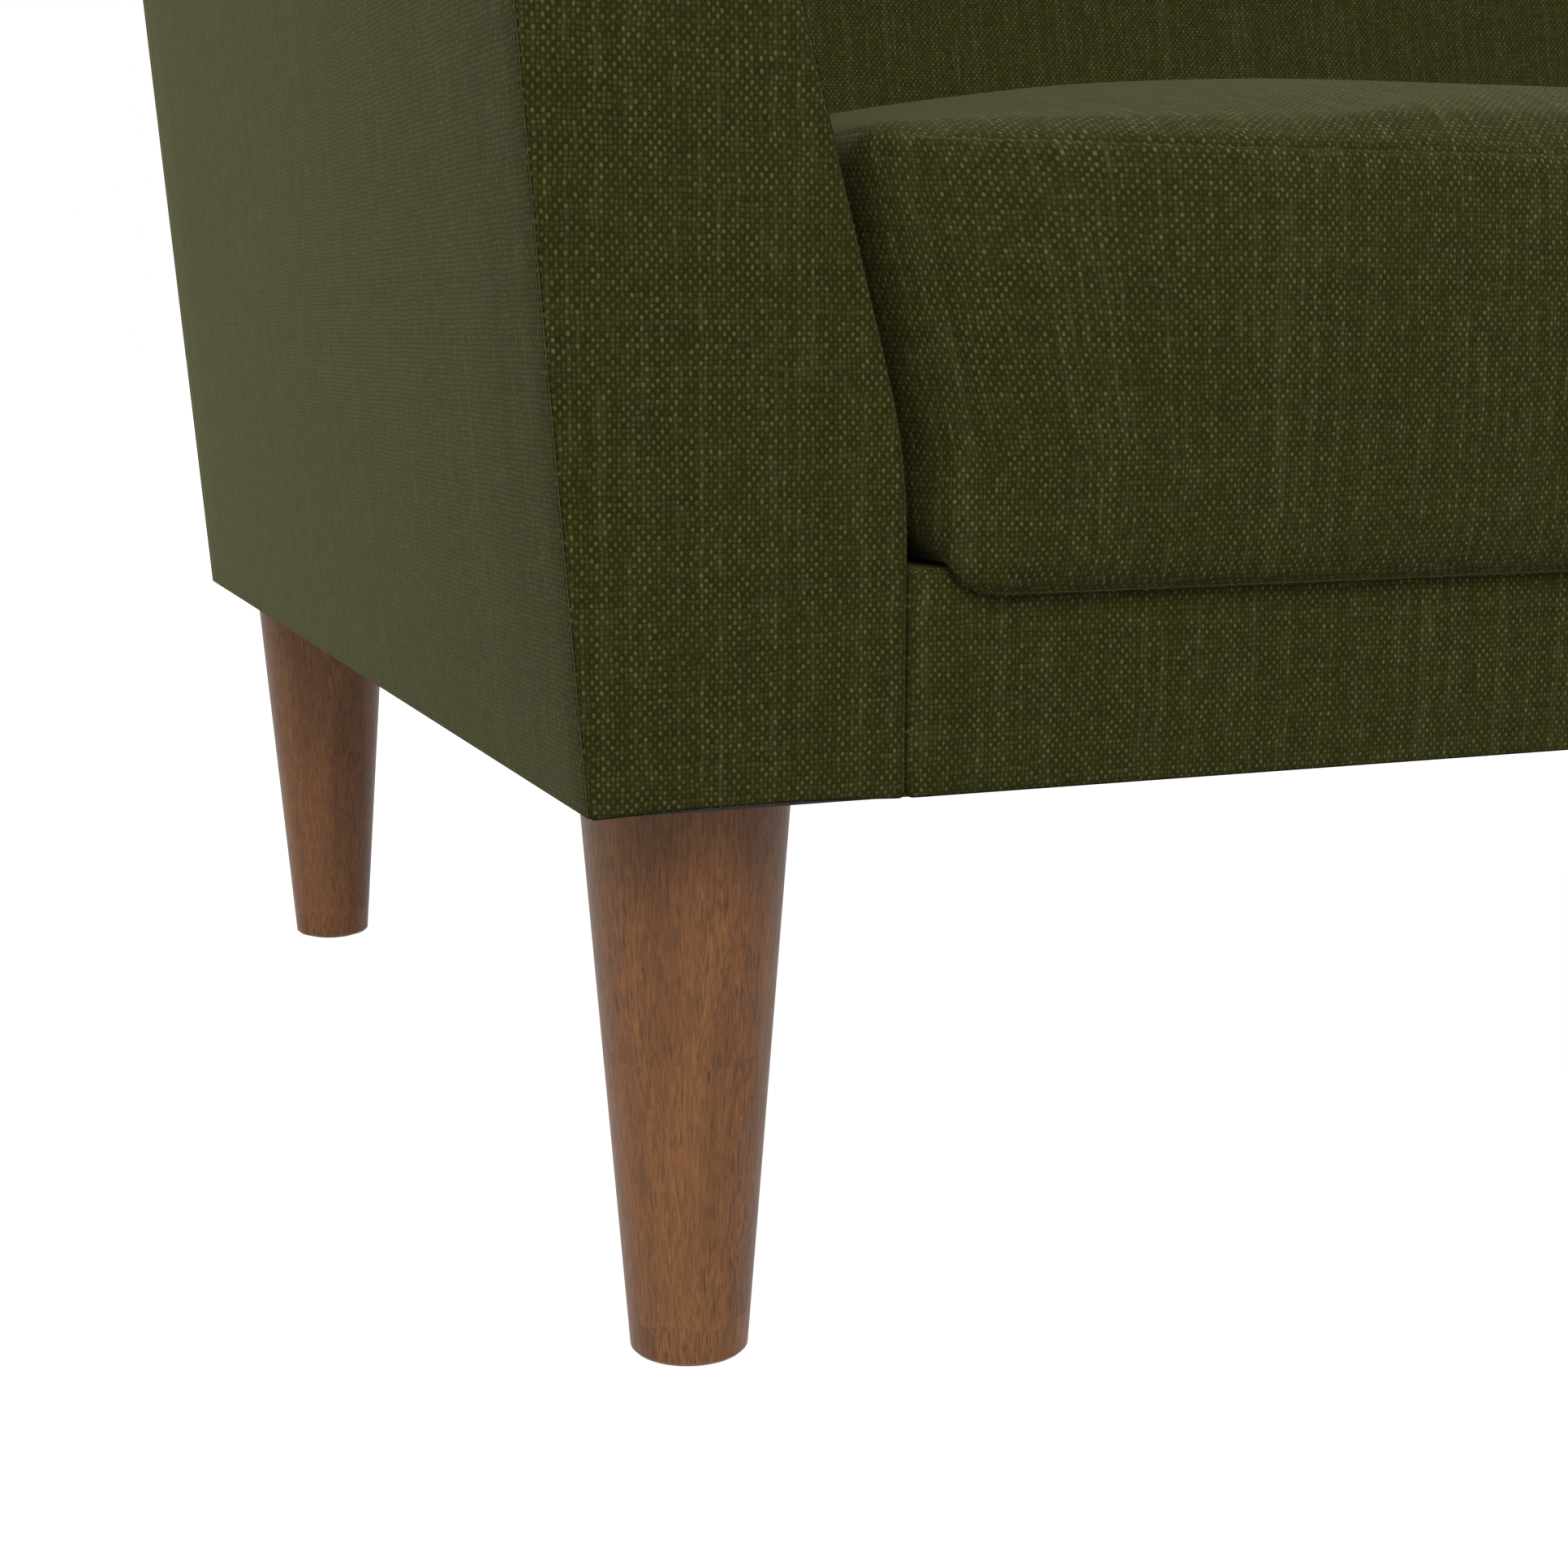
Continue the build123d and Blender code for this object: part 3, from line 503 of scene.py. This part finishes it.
def timber(name, colour, darker, along):
    """Planed softwood, its grain running along one axis."""
    n = Nodes(name)
    squash = [28.0, 28.0, 28.0]
    squash[along] = 2.0
    where = n.object_place(scale=tuple(squash))
    rings = n.noise(where, 1.6, 4.0, 0.6)
    bands = n.math("SINE", n.math("MULTIPLY", rings, 60.0))
    fibre = n.noise(where, 34.0, 3.0, 0.7)
    tone = n.mix(n.remap(bands, -0.6, 1.0, 0.0, 0.6), colour, darker)
    tone = n.mix(n.remap(fibre, 0.4, 0.75, 0.0, 0.35), tone, darker)
    return n.finish(tone, n.remap(fibre, 0.3, 0.7, 0.6, 0.78), n.bump(fibre, 0.3, 0.15 * MM))


def metal(name, colour, rough):
    """Plated or painted steel, mottled and finely scratched."""
    n = Nodes(name)
    where = n.object_place()
    mottle = n.noise(where, 180.0, 3.0, 0.6)
    scratches = n.noise(where, 1620.0, 2.0, 0.5)
    duller = tuple(0.6 * c for c in colour[:3]) + (1.0,)
    tone = n.mix(n.remap(mottle, 0.3, 0.7, 0.0, 0.5), colour, duller)
    roughness = n.remap(mottle, 0.3, 0.7, rough - 0.08, rough + 0.12)
    return n.finish(tone, roughness, n.bump(scratches, 0.15, 0.05 * MM), Metallic=1.0)


olive = linen()
deck_weave = plain_cloth("deck_cloth_dark", linear(34, 34, 26), 1.1 * MM, linear(58, 57, 44))
dust_weave = plain_cloth("dust_cloth_black", linear(22, 22, 23), 2.4 * MM, linear(44, 44, 46))
felt = plain_cloth("felt_brown", linear(48, 38, 30), 0.9 * MM, linear(84, 70, 58), 0.98, 0.9)
web = plain_cloth("webbing_dark", linear(52, 48, 44), 2.0 * MM, linear(92, 86, 78))
tape = plain_cloth("zip_tape_olive", linear(40, 39, 17), 0.8 * MM, linear(62, 61, 34))
cream_foam = foam("foam_cream")
pine = {
    axis: timber(f"pine_along_{'xyz'[axis]}", linear(205, 170, 122), linear(160, 118, 74), axis)
    for axis in range(3)
}
fibreboard = timber("fibreboard_brown", linear(136, 106, 74), linear(104, 78, 52), 1)
zinc = metal("zinc_plate", linear(176, 178, 182), 0.38)
black_spring = metal("black_spring_steel", linear(46, 46, 49), 0.42)
bronze = metal("bronze_paint", linear(72, 66, 54), 0.4)


def dress(node, material):
    """Give a CAD node its finish."""
    piece = NODES[node]
    if not piece.material_slots:
        piece.data.materials.append(material)
    for material_slot in piece.material_slots:
        material_slot.material = material


# ---- Fixed upholstery ---------------------------------------------------------------------------


def settle(piece, nodes, body=RIGID, material=None):
    """Last steps of every soft piece: threads, finish, body and the nodes it stands for."""
    lay_cloth(piece)
    piece.data.materials.clear()
    piece.data.materials.append(material or olive)
    smooth(piece)
    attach(piece, body)
    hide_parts(*nodes)


def arch_foot(piece):
    """The foot of the arm's front panel is pulled up a little between its corners."""
    points = coordinates(piece)
    share = (points[:, 0] - OUTER_EDGE) / (SEAT_EDGE - OUTER_EDGE)
    near = np.exp(-((points[:, 2] - BODY_BOTTOM) / (14 * MM)) ** 2)
    points[:, 2] += 1.5 * MM * np.sin(np.pi * np.clip(share, 0, 1)) * near
    place(piece, points)


def arm_front():
    piece = copy_of("left_arm_front_cover", "left_arm_front_panel")
    round_edges(piece, 2.2 * MM, 4)
    slice_up(piece, 2, 12 * MM)
    slice_up(piece, 0, 12 * MM)
    puff(piece, (0, -1, 0), 1.0 * MM, 30 * MM, 0.25 * MM)
    arch_foot(piece)
    return piece


def arm_side():
    piece = copy_of("left_arm_side_cover", "left_arm_side_panel")
    round_edges(piece, 1.1 * MM, 3)
    slice_up(piece, 2, 16 * MM)
    slice_up(piece, 1, 16 * MM)
    puff(piece, (-1, 0, -OUTER_SLOPE), 1.4 * MM, 60 * MM, 0.35 * MM)
    return piece


def arm_inside():
    piece = copy_of("left_arm_inner_cover", "left_arm_inside_panel")
    round_edges(piece, 1.3 * MM, 3, 60)
    slice_up(piece, 2, 14 * MM)
    slice_up(piece, 1, 16 * MM)
    puff(piece, (1, 0, INNER_LEAN), 2.4 * MM, 60 * MM, 0.5 * MM)
    puff(piece, (0, 0, 1), 1.2 * MM, 14 * MM, 0.2 * MM)
    return piece


for make, node, flat, area in (
    (arm_front, "arm_front", (0.137, 0.407), 0.0378),
    (arm_side, "arm_side", (0.781, 0.397), None),
    (arm_inside, "arm_inner", None, None),
):
    left = make()
    right = mirrored(left, left.name.replace("left", "right"))
    for piece, side in ((left, "left"), (right, "right")):
        if flat is None:
            settle(piece, [f"{side}_{node}_cover", f"{side}_arm_padding"])
        else:
            settle(piece, [f"{side}_{node}_cover"])

rail = copy_of("front_rail_cover", "front_rail_panel")
round_edges(rail, 2.2 * MM, 4)
slice_up(rail, 0, 24 * MM)
slice_up(rail, 2, 12 * MM)
puff(rail, (0, -1, 0), 0.9 * MM, 22 * MM, 0.25 * MM)
points = coordinates(rail)
at_end = np.abs(points[:, 0]) > rail_high.x - 2.5 * MM
points[:, 0] -= np.sign(points[:, 0]) * 0.6 * MM * at_end  # a seam's width from the arms
place(rail, points)
settle(rail, ["front_rail_cover", "front_rail_padding"])

BACK_NORMAL = Vector((0, -1, BACK_LEAN)).normalized()


def outside(points, outward):
    """Points on the outer skin of the back: its front, top and ends."""
    inner = np.abs(points[:, 0]) < back_high.x - 120 * MM
    top = points[:, 2] > back_high.z - 2 * MM
    front = outward @ np.array(BACK_NORMAL) > 0.4
    return front | top | (~inner & (np.sign(points[:, 0]) * outward[:, 0] > 0.5))


back = copy_of("inside_back_cover", "inside_back")
slice_up(back, 0, 26 * MM)
slice_up(back, 2, 22 * MM)
puff(back, BACK_NORMAL, 9 * MM, 150 * MM, 1.0 * MM, 0.16)
back_front = Vector((0, back_low.y, deck_high.z))
seam(back, back_front - BACK_NORMAL * 30 * MM, BACK_NORMAL, 1.8 * MM, where=outside)
seam(back, (0, 0, 0), (1, 0, 0), 3.0 * MM, 2.4 * MM, where=outside)
settle(back, ["inside_back_cover", "back_foam"])

rear = copy_of("outside_back_cover", "outside_back_panel")
round_edges(rear, 1.2 * MM, 3)
slice_up(rear, 0, 30 * MM)
slice_up(rear, 2, 30 * MM)
puff(rear, (0, 1, 0), 1.6 * MM, 90 * MM, 0.5 * MM, 0.13)
settle(rear, ["outside_back_cover"])

# ---- Deck and underside -------------------------------------------------------------------------

deck = copy_of("deck_cloth", "deck_sheet")
slice_up(deck, 0, 24 * MM)
slice_up(deck, 1, 24 * MM)
points = coordinates(deck)
points[:, 2] -= 0.5 * MM * np.abs(np.sin(points[:, 0] / (62 * MM))) * np.sin(
    np.clip((points[:, 1] - deck_low.y) / (deck_high.y - deck_low.y), 0, 1) * np.pi
)
place(deck, points)
settle(deck, ["deck_cloth"], material=deck_weave)

dust = copy_of("dust_cover", "dust_sheet")
slice_up(dust, 0, 30 * MM)
slice_up(dust, 1, 30 * MM)
points = coordinates(dust)
bay = np.abs(np.sin((points[:, 0] - dust_low.x) / (dust_high.x - dust_low.x) * 2 * np.pi))
points[:, 2] -= 3 * MM * bay * np.sin((points[:, 1] - dust_low.y) / (dust_high.y - dust_low.y) * np.pi)
place(dust, points)
settle(dust, ["dust_cover"], material=dust_weave)


def staples():
    """Wire staples that hold the dust sheet, one every few centimetres along the boards."""
    margin, pitch, clear_of_leg = 16 * MM, 55 * MM, 45 * MM
    crown, wire, height = 10 * MM, 1.2 * MM, 0.7 * MM
    low, high = dust_low.xy + Vector((margin, margin)), dust_high.xy - Vector((margin, margin))
    across, deep = (int(length / pitch) for length in high - low)
    steps_x = [low.x + (high.x - low.x) * n / across for n in range(across + 1)]
    steps_y = [low.y + (high.y - low.y) * n / deep for n in range(1, deep)]
    spots = [(x, y, 0) for y in (low.y, high.y) for x in steps_x]
    spots += [(x, y, 1) for x in (low.x, high.x) for y in steps_y]
    feet = [box_middle(f"{leg}_leg") for leg in LEGS]
    made = []
    for x, y, turned in spots:
        if min(math.hypot(x - foot.x, y - foot.y) for foot in feet) <= clear_of_leg:
            continue
        size = (wire, crown) if turned else (crown, wire)
        bpy.ops.object.select_all(action="DESELECT")
        bpy.ops.mesh.primitive_cube_add(size=1, location=(x, y, dust_low.z - height / 2))
        bpy.context.object.scale = (*size, height)
        bpy.ops.object.transform_apply(location=True, rotation=False, scale=True)
        made.append(bpy.context.object)
    bpy.ops.object.select_all(action="DESELECT")
    for one in made:
        one.select_set(True)
    bpy.context.view_layer.objects.active = made[0]
    bpy.ops.object.join()
    joined = bpy.context.object
    joined.name = "dust_sheet_staples"
    round_edges(joined, 0.25 * MM, 2)
    return joined


stapled = staples()
stapled.data.materials.append(zinc)
smooth(stapled)
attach(stapled, RIGID)

# ---- Seat cushions ------------------------------------------------------------------------------


def rear_plane(z):
    """Depth of the cushion's leaning rear side at a height."""
    return cushion_high.y - BACK_LEAN * np.clip(z_seam - z, 0, None)


def crown_rise(points):
    """Height of the crown over each point of the top: a quick shoulder, then a slow rise."""
    def rise(gap, reach, shoulder, turn):
        quick = shoulder * (1 - np.exp(-np.clip(gap, 0, None) / turn))
        return quick + (1 - shoulder) * (1 - (1 - np.clip(gap / reach, 0, 1)) ** 1.3)
    ends = np.minimum(points[:, 0] - cushion_low.x, cushion_high.x - points[:, 0])
    sides = np.minimum(points[:, 1] - cushion_low.y, cushion_high.y - points[:, 1])
    over_ends = rise(ends, CROWN_REACH, 0.05, 8 * MM)
    return (CROWN - 2.4 * CAP) * over_ends * rise(sides, 1.3 * CROWN_REACH, 0.38, 13 * MM)


def fill_flare(points):
    """The side by the arm leans out with it, so the cushion fills the seat at the top too."""
    lean = INNER_LEAN * np.clip(np.minimum(points[:, 2], z_seam) - BEND_HEIGHT, 0, None)
    points[:, 0] -= lean * (1 - ease((points[:, 0] - cushion_low.x) / ARM_FLARE))


def pad_shape():
    """Block with rounded corners, drawn up at its rear to the lean of the back, in small even faces."""
    bpy.ops.object.select_all(action="DESELECT")
    size = cushion_high - cushion_low - Vector((2 * SWELL_ROOM, 2 * SWELL_ROOM, CROWN))
    centre = Vector((cushion_middle.x, cushion_middle.y, cushion_low.z + BOXING / 2))
    bpy.ops.mesh.primitive_cube_add(size=1, location=centre)
    pad = bpy.context.object
    pad.name = "left_seat_cushion_pad"
    pad.scale = size
    bpy.ops.object.transform_apply(location=True, rotation=False, scale=True)
    bpy.ops.object.mode_set(mode="EDIT")
    bpy.ops.mesh.select_mode(type="EDGE")
    bpy.ops.mesh.select_all(action="DESELECT")
    bpy.ops.object.mode_set(mode="OBJECT")
    for edge in pad.data.edges:
        a, b = (pad.data.vertices[i].co for i in edge.vertices)
        edge.select = abs(a.z - b.z) > BOXING / 2
    bpy.ops.object.mode_set(mode="EDIT")
    bpy.ops.mesh.bevel(offset=CORNER - SWELL_ROOM, segments=8, profile=0.5)
    bpy.ops.mesh.select_all(action="DESELECT")
    bpy.ops.mesh.select_mode(type="VERT")
    bpy.ops.object.mode_set(mode="OBJECT")
    for v in pad.data.vertices:
        v.select = v.co.z < centre.z and v.co.y > centre.y
    bpy.ops.object.mode_set(mode="EDIT")
    bpy.ops.transform.translate(value=(0, -BACK_LEAN * BOXING, 0))
    bpy.ops.object.mode_set(mode="OBJECT")
    remesh = pad.modifiers.new("even_faces", "REMESH")
    remesh.mode = "VOXEL"
    remesh.voxel_size = FACE_SIZE
    bpy.ops.object.modifier_apply(modifier=remesh.name)
    points = coordinates(pad)
    top = points[:, 2] > cushion_middle.z - CROWN
    share = np.clip((points[:, 2] - cushion_low.z) / BOXING, 0, 1) ** 6
    points[:, 2] += np.where(top, crown_rise(points) * share, 0)
    fill_flare(points)
    place(pad, points)
    return pad


def inflate(pad, pressure, frames, cap):
    """Blow the cover up against its seams as the filling does, and keep how far each point may move."""
    start = coordinates(pad)
    held = pad.vertex_groups.new(name="sewn")
    lean = INNER_LEAN * np.clip(np.minimum(start[:, 2], z_seam) - BEND_HEIGHT, 0, None)
    sides = np.minimum(
        np.minimum(start[:, 0] - cushion_low.x + lean, cushion_high.x - start[:, 0]),
        np.minimum(start[:, 1] - cushion_low.y, rear_plane(start[:, 2]) - start[:, 1]),
    )
    on_side = sides < SWELL_ROOM + 5 * MM
    sewn = on_side & (np.abs(start[:, 2] - z_seam) < 4 * MM)
    resting = start[:, 2] < cushion_low.z + 2 * MM
    held.add([int(i) for i in np.flatnonzero(sewn | resting)], 1.0, "REPLACE")
    only(pad)
    cloth = pad.modifiers.new("filling", "CLOTH")
    cloth.settings.quality = 6
    cloth.settings.mass = 0.3
    cloth.settings.tension_stiffness = 18
    cloth.settings.compression_stiffness = 18
    cloth.settings.bending_stiffness = 0.8
    cloth.settings.use_pressure = True
    cloth.settings.uniform_pressure_force = pressure
    cloth.settings.effector_weights.gravity = 0
    cloth.settings.vertex_group_mass = held.name
    cloth.collision_settings.use_collision = False
    cloth.point_cache.frame_start = 1
    cloth.point_cache.frame_end = frames
    for step in range(1, frames + 1):
        bpy.context.scene.frame_set(step)
    bpy.ops.object.modifier_apply(modifier=cloth.name)
    bpy.context.scene.frame_set(1)
    moved = coordinates(pad) - start
    far = np.linalg.norm(moved, axis=1, keepdims=True)
    place(pad, start + moved * np.minimum(1, cap / np.maximum(far, 1e-9)))


def keep_inside(pad):
    """The cushion lies flat on the deck, against the back and beside its neighbours."""
    points = coordinates(pad)
    x, y, z = points.T
    lean = np.clip(z - BEND_HEIGHT, 0, None) * INNER_LEAN
    points[:, 0] = np.clip(x, SEAT_EDGE + 3.2 * MM - lean, -1.2 * MM)
    points[:, 1] = np.minimum(y, rear_plane(z))
    points[:, 2] = np.where(y > FRONT - 0.5 * MM, np.maximum(z, cushion_low.z), z)
    place(pad, points)


def roll_in(share):
    """Quarter-circle profile: 1 where the edge turns right round, 0 where it leaves the side."""
    return 1 - np.sqrt(1 - np.clip(share, 0, 1) ** 2)


def round_rims(pad):
    """Turn the top and bottom edges of the sides in, and let the front lip hang before the rail."""
    points = coordinates(pad)
    x, y, z = points.T
    lean = INNER_LEAN * np.clip(np.minimum(z, z_seam) - BEND_HEIGHT, 0, None)
    ends = np.minimum(x - cushion_low.x + lean, cushion_high.x - x)
    fronts = y - cushion_low.y
    toward = np.where(x < cushion_middle.x, 1, -1)
    in_x, in_y = np.clip(CORNER - ends, 0, None), np.clip(CORNER - fronts, 0, None)
    squarer = np.hypot(in_x, in_y) / np.maximum(np.maximum(in_x, in_y), MM) - 1
    squarer = 0.55 * np.clip(squarer, 0, None) * (1 - ease((z - cushion_low.z) / (70 * MM)))
    ends, fronts = ends - in_x * squarer, fronts - in_y * squarer
    points[:, 0] -= toward * in_x * squarer
    points[:, 1] -= in_y * squarer
    near_front = 1 - ease(fronts / (24 * MM))
    near_end = 1 - ease(ends / (24 * MM))
    ahead = ease((FRONT - 0.5 * MM - points[:, 1]) / (4 * MM))
    low = 1 - ease((z - cushion_low.z) / (60 * MM))
    hang = LIP_DROP * ease((ends + 10 * MM) / (34 * MM))
    points[:, 2] -= hang * ahead * low
    turn = 24 * MM
    bottom = roll_in((cushion_low.z - hang + turn - points[:, 2]) / turn)
    top_turn = 18 * MM
    top = roll_in((points[:, 2] - (z_seam - top_turn)) / top_turn)
    points[:, 1] += near_front * (7 * MM * bottom + 3 * MM * top)
    points[:, 2] -= 4 * MM * near_front * top
    points[:, 0] += toward * near_end * (5 * MM * bottom + 2 * MM * top)
    place(pad, points)


def perimeter_cloth(piece):
    """Threads of the cushion: the boxing runs round the sides in one strip, top and bottom lie flat."""
    mesh = piece.data
    layer = mesh.uv_layers.get("weave") or mesh.uv_layers.new(name="weave")
    deep = (cushion_high.y - cushion_low.y) / 2
    half_x = (cushion_high.x - cushion_low.x) / 2 - CORNER
    half_y = (cushion_high.y - cushion_low.y) / 2 - CORNER
    mx, my = cushion_middle.x, cushion_middle.y
    quarter = CORNER * math.pi / 2

    def run(x, y, away):
        """Distance round the rounded rectangle from the middle of the front."""
        dx, dy = x - mx, y - my
        if away.y < -0.7071 or (abs(dx) <= half_x and dy < 0 and abs(away.y) > abs(away.x)):
            edge_run = dx
            over = abs(dx) - half_x
            if over > 0:
                edge_run = math.copysign(half_x + CORNER * math.atan2(over, max(-dy - half_y, 1e-6)), dx)
            return edge_run
        if away.y > 0.7071:
            return 2 * (half_x + half_y) + 2 * quarter - dx
        turn = math.atan2(abs(dx) - half_x, max(-dy - half_y, 1e-6)) if -dy > half_y else math.pi / 2
        down = dy + half_y if -dy < half_y else 0.0
        return math.copysign(half_x + CORNER * turn + down, dx)

    for face in mesh.polygons:
        top = face.center.z > z_seam or (face.normal.z > 0.8)
        bottom = face.normal.z < -0.6
        for loop in face.loop_indices:
            x, y, z = mesh.vertices[mesh.loops[loop].vertex_index].co
            lean = INNER_LEAN * max(0, min(z, z_seam) - BEND_HEIGHT)
            x += lean * (1 - float(ease((x + lean - cushion_low.x) / ARM_FLARE)))
            if top:
                climb = 0.45 * (z - z_seam) * max(-1, min(1, (my - y) / deep))
                layer.data[loop].uv = (x, y + climb)
            else:
                layer.data[loop].uv = (x, y) if bottom else (run(x, y, face.normal), z)


pad = pad_shape()
inflate(pad, 4.0, 20, CAP)
keep_inside(pad)
only(pad)
even = pad.modifiers.new("soften", "SMOOTH")
even.factor = 0.5
even.iterations = 4
bpy.ops.object.modifier_apply(modifier=even.name)
finer = pad.modifiers.new("finer", "SUBSURF")
finer.levels = finer.render_levels = 1
bpy.ops.object.modifier_apply(modifier=finer.name)


def on_rim(points, outward):
    return outward[:, 2] > -0.5


seam(pad, (0, 0, z_seam), (0, 0, 1), 0.5 * MM, 1.2 * MM, where=on_rim)
round_rims(pad)
keep_inside(pad)
perimeter_cloth(pad)
right_pad = mirrored(pad, "right_seat_cushion_pad")
for piece, side in ((pad, "left"), (right_pad, "right")):
    body = f"{side}_seat_cushion"
    piece.data.materials.append(olive)
    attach(piece, body)
    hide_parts(f"{side}_cushion_cover", f"{side}_cushion_core")
    smooth(piece, 60)

# ---- Finishes of the CAD nodes ------------------------------------------------------------------

for leg in LEGS:
    spot = box_middle(f"{leg}_leg")
    dress(f"{leg}_leg", walnut(f"walnut_{leg}", (spot.x, spot.y, 0)))
dress("leg_glides", felt)

grain = {
    0: ("front_rail_board", "rear_seat_rail", "rear_bottom_rail", "back_top_rail", "back_bottom_rails"),
    1: ("centre_stretcher", "corner_blocks"),
    2: ("left_back_upright", "centre_back_upright", "right_back_upright"),
}
for axis, names in grain.items():
    for node in names:
        dress(node, pine[axis])
for side in ("left", "right"):
    for node, axis in (("side_rail", 1), ("arm_base_board", 1), ("arm_top_rail", 1), ("arm_lower_rail", 1),
                       ("arm_front_post", 2), ("arm_rear_post", 2)):
        dress(f"{side}_{node}", pine[axis])
    dress(f"{side}_arm_inner_board", fibreboard)
    dress(f"{side}_cushion_zip", tape)
    dress(f"{side}_zip_slider", bronze)
dress("deck_pad", cream_foam)
dress("back_webbing", web)
dress("seat_springs", black_spring)
dress("spring_clips", black_spring)
for node in ("arm_bolts", "leg_plates", "leg_plate_screws", "hanger_bolts"):
    dress(node, zinc)

# ---- Floor, light and camera --------------------------------------------------------------------

bpy.ops.object.select_all(action="DESELECT")
bpy.ops.mesh.primitive_plane_add(size=60, location=(0, 0, 0))
floor = bpy.context.object
floor.name = "floor"
glow = {"Emission_Color": (1.0, 1.0, 1.0, 1.0), "Emission_Strength": 0.97}
floor.data.materials.append(Nodes("pale_floor").finish((0.1, 0.1, 0.1, 1.0), 0.9, **glow))

world = bpy.data.worlds.new("studio")
bpy.context.scene.world = world
world.use_nodes = True
sky = world.node_tree.nodes
toward_sky = sky.new("ShaderNodeTexCoord")
split_sky = sky.new("ShaderNodeSeparateXYZ")
brighter_above = sky.new("ShaderNodeMapRange")
for socket, number in zip(list(brighter_above.inputs)[1:5], (0.2, 1.0, 1.0, 2.4)):
    socket.default_value = number
world.node_tree.links.new(toward_sky.outputs["Generated"], split_sky.inputs[0])
world.node_tree.links.new(split_sky.outputs[2], brighter_above.inputs[0])
world.node_tree.links.new(brighter_above.outputs[0], sky["Background"].inputs["Strength"])
sky["Background"].inputs["Color"].default_value = (1.0, 1.0, 1.0, 1.0)


def softbox(name, place_at, aim, size, power):
    light = bpy.data.lights.new(name, "AREA")
    light.shape = "RECTANGLE"
    light.size, light.size_y = size
    light.energy = power
    lamp = bpy.data.objects.new(name, light)
    bpy.context.scene.collection.objects.link(lamp)
    lamp.location = place_at
    lamp.rotation_euler = (Vector(aim) - Vector(place_at)).to_track_quat("-Z", "Y").to_euler()
    return lamp


softbox("key_softbox", (-1.9, -3.7, 3.7), (0, 0, 0.4), (3.0, 2.2), 320)

camera = bpy.data.cameras.new("camera")
camera.lens = 56.85
camera.sensor_width = 36
viewer = bpy.data.objects.new("camera", camera)
bpy.context.scene.collection.objects.link(viewer)
viewer.location = (OUTER_EDGE - 0.2113, FRONT - 0.7158, 0.3535)
viewer.rotation_euler = (math.radians(90 - 10.41), 0, math.radians(-21.02))
bpy.context.scene.camera = viewer
bpy.context.scene.view_settings.view_transform = "Standard"
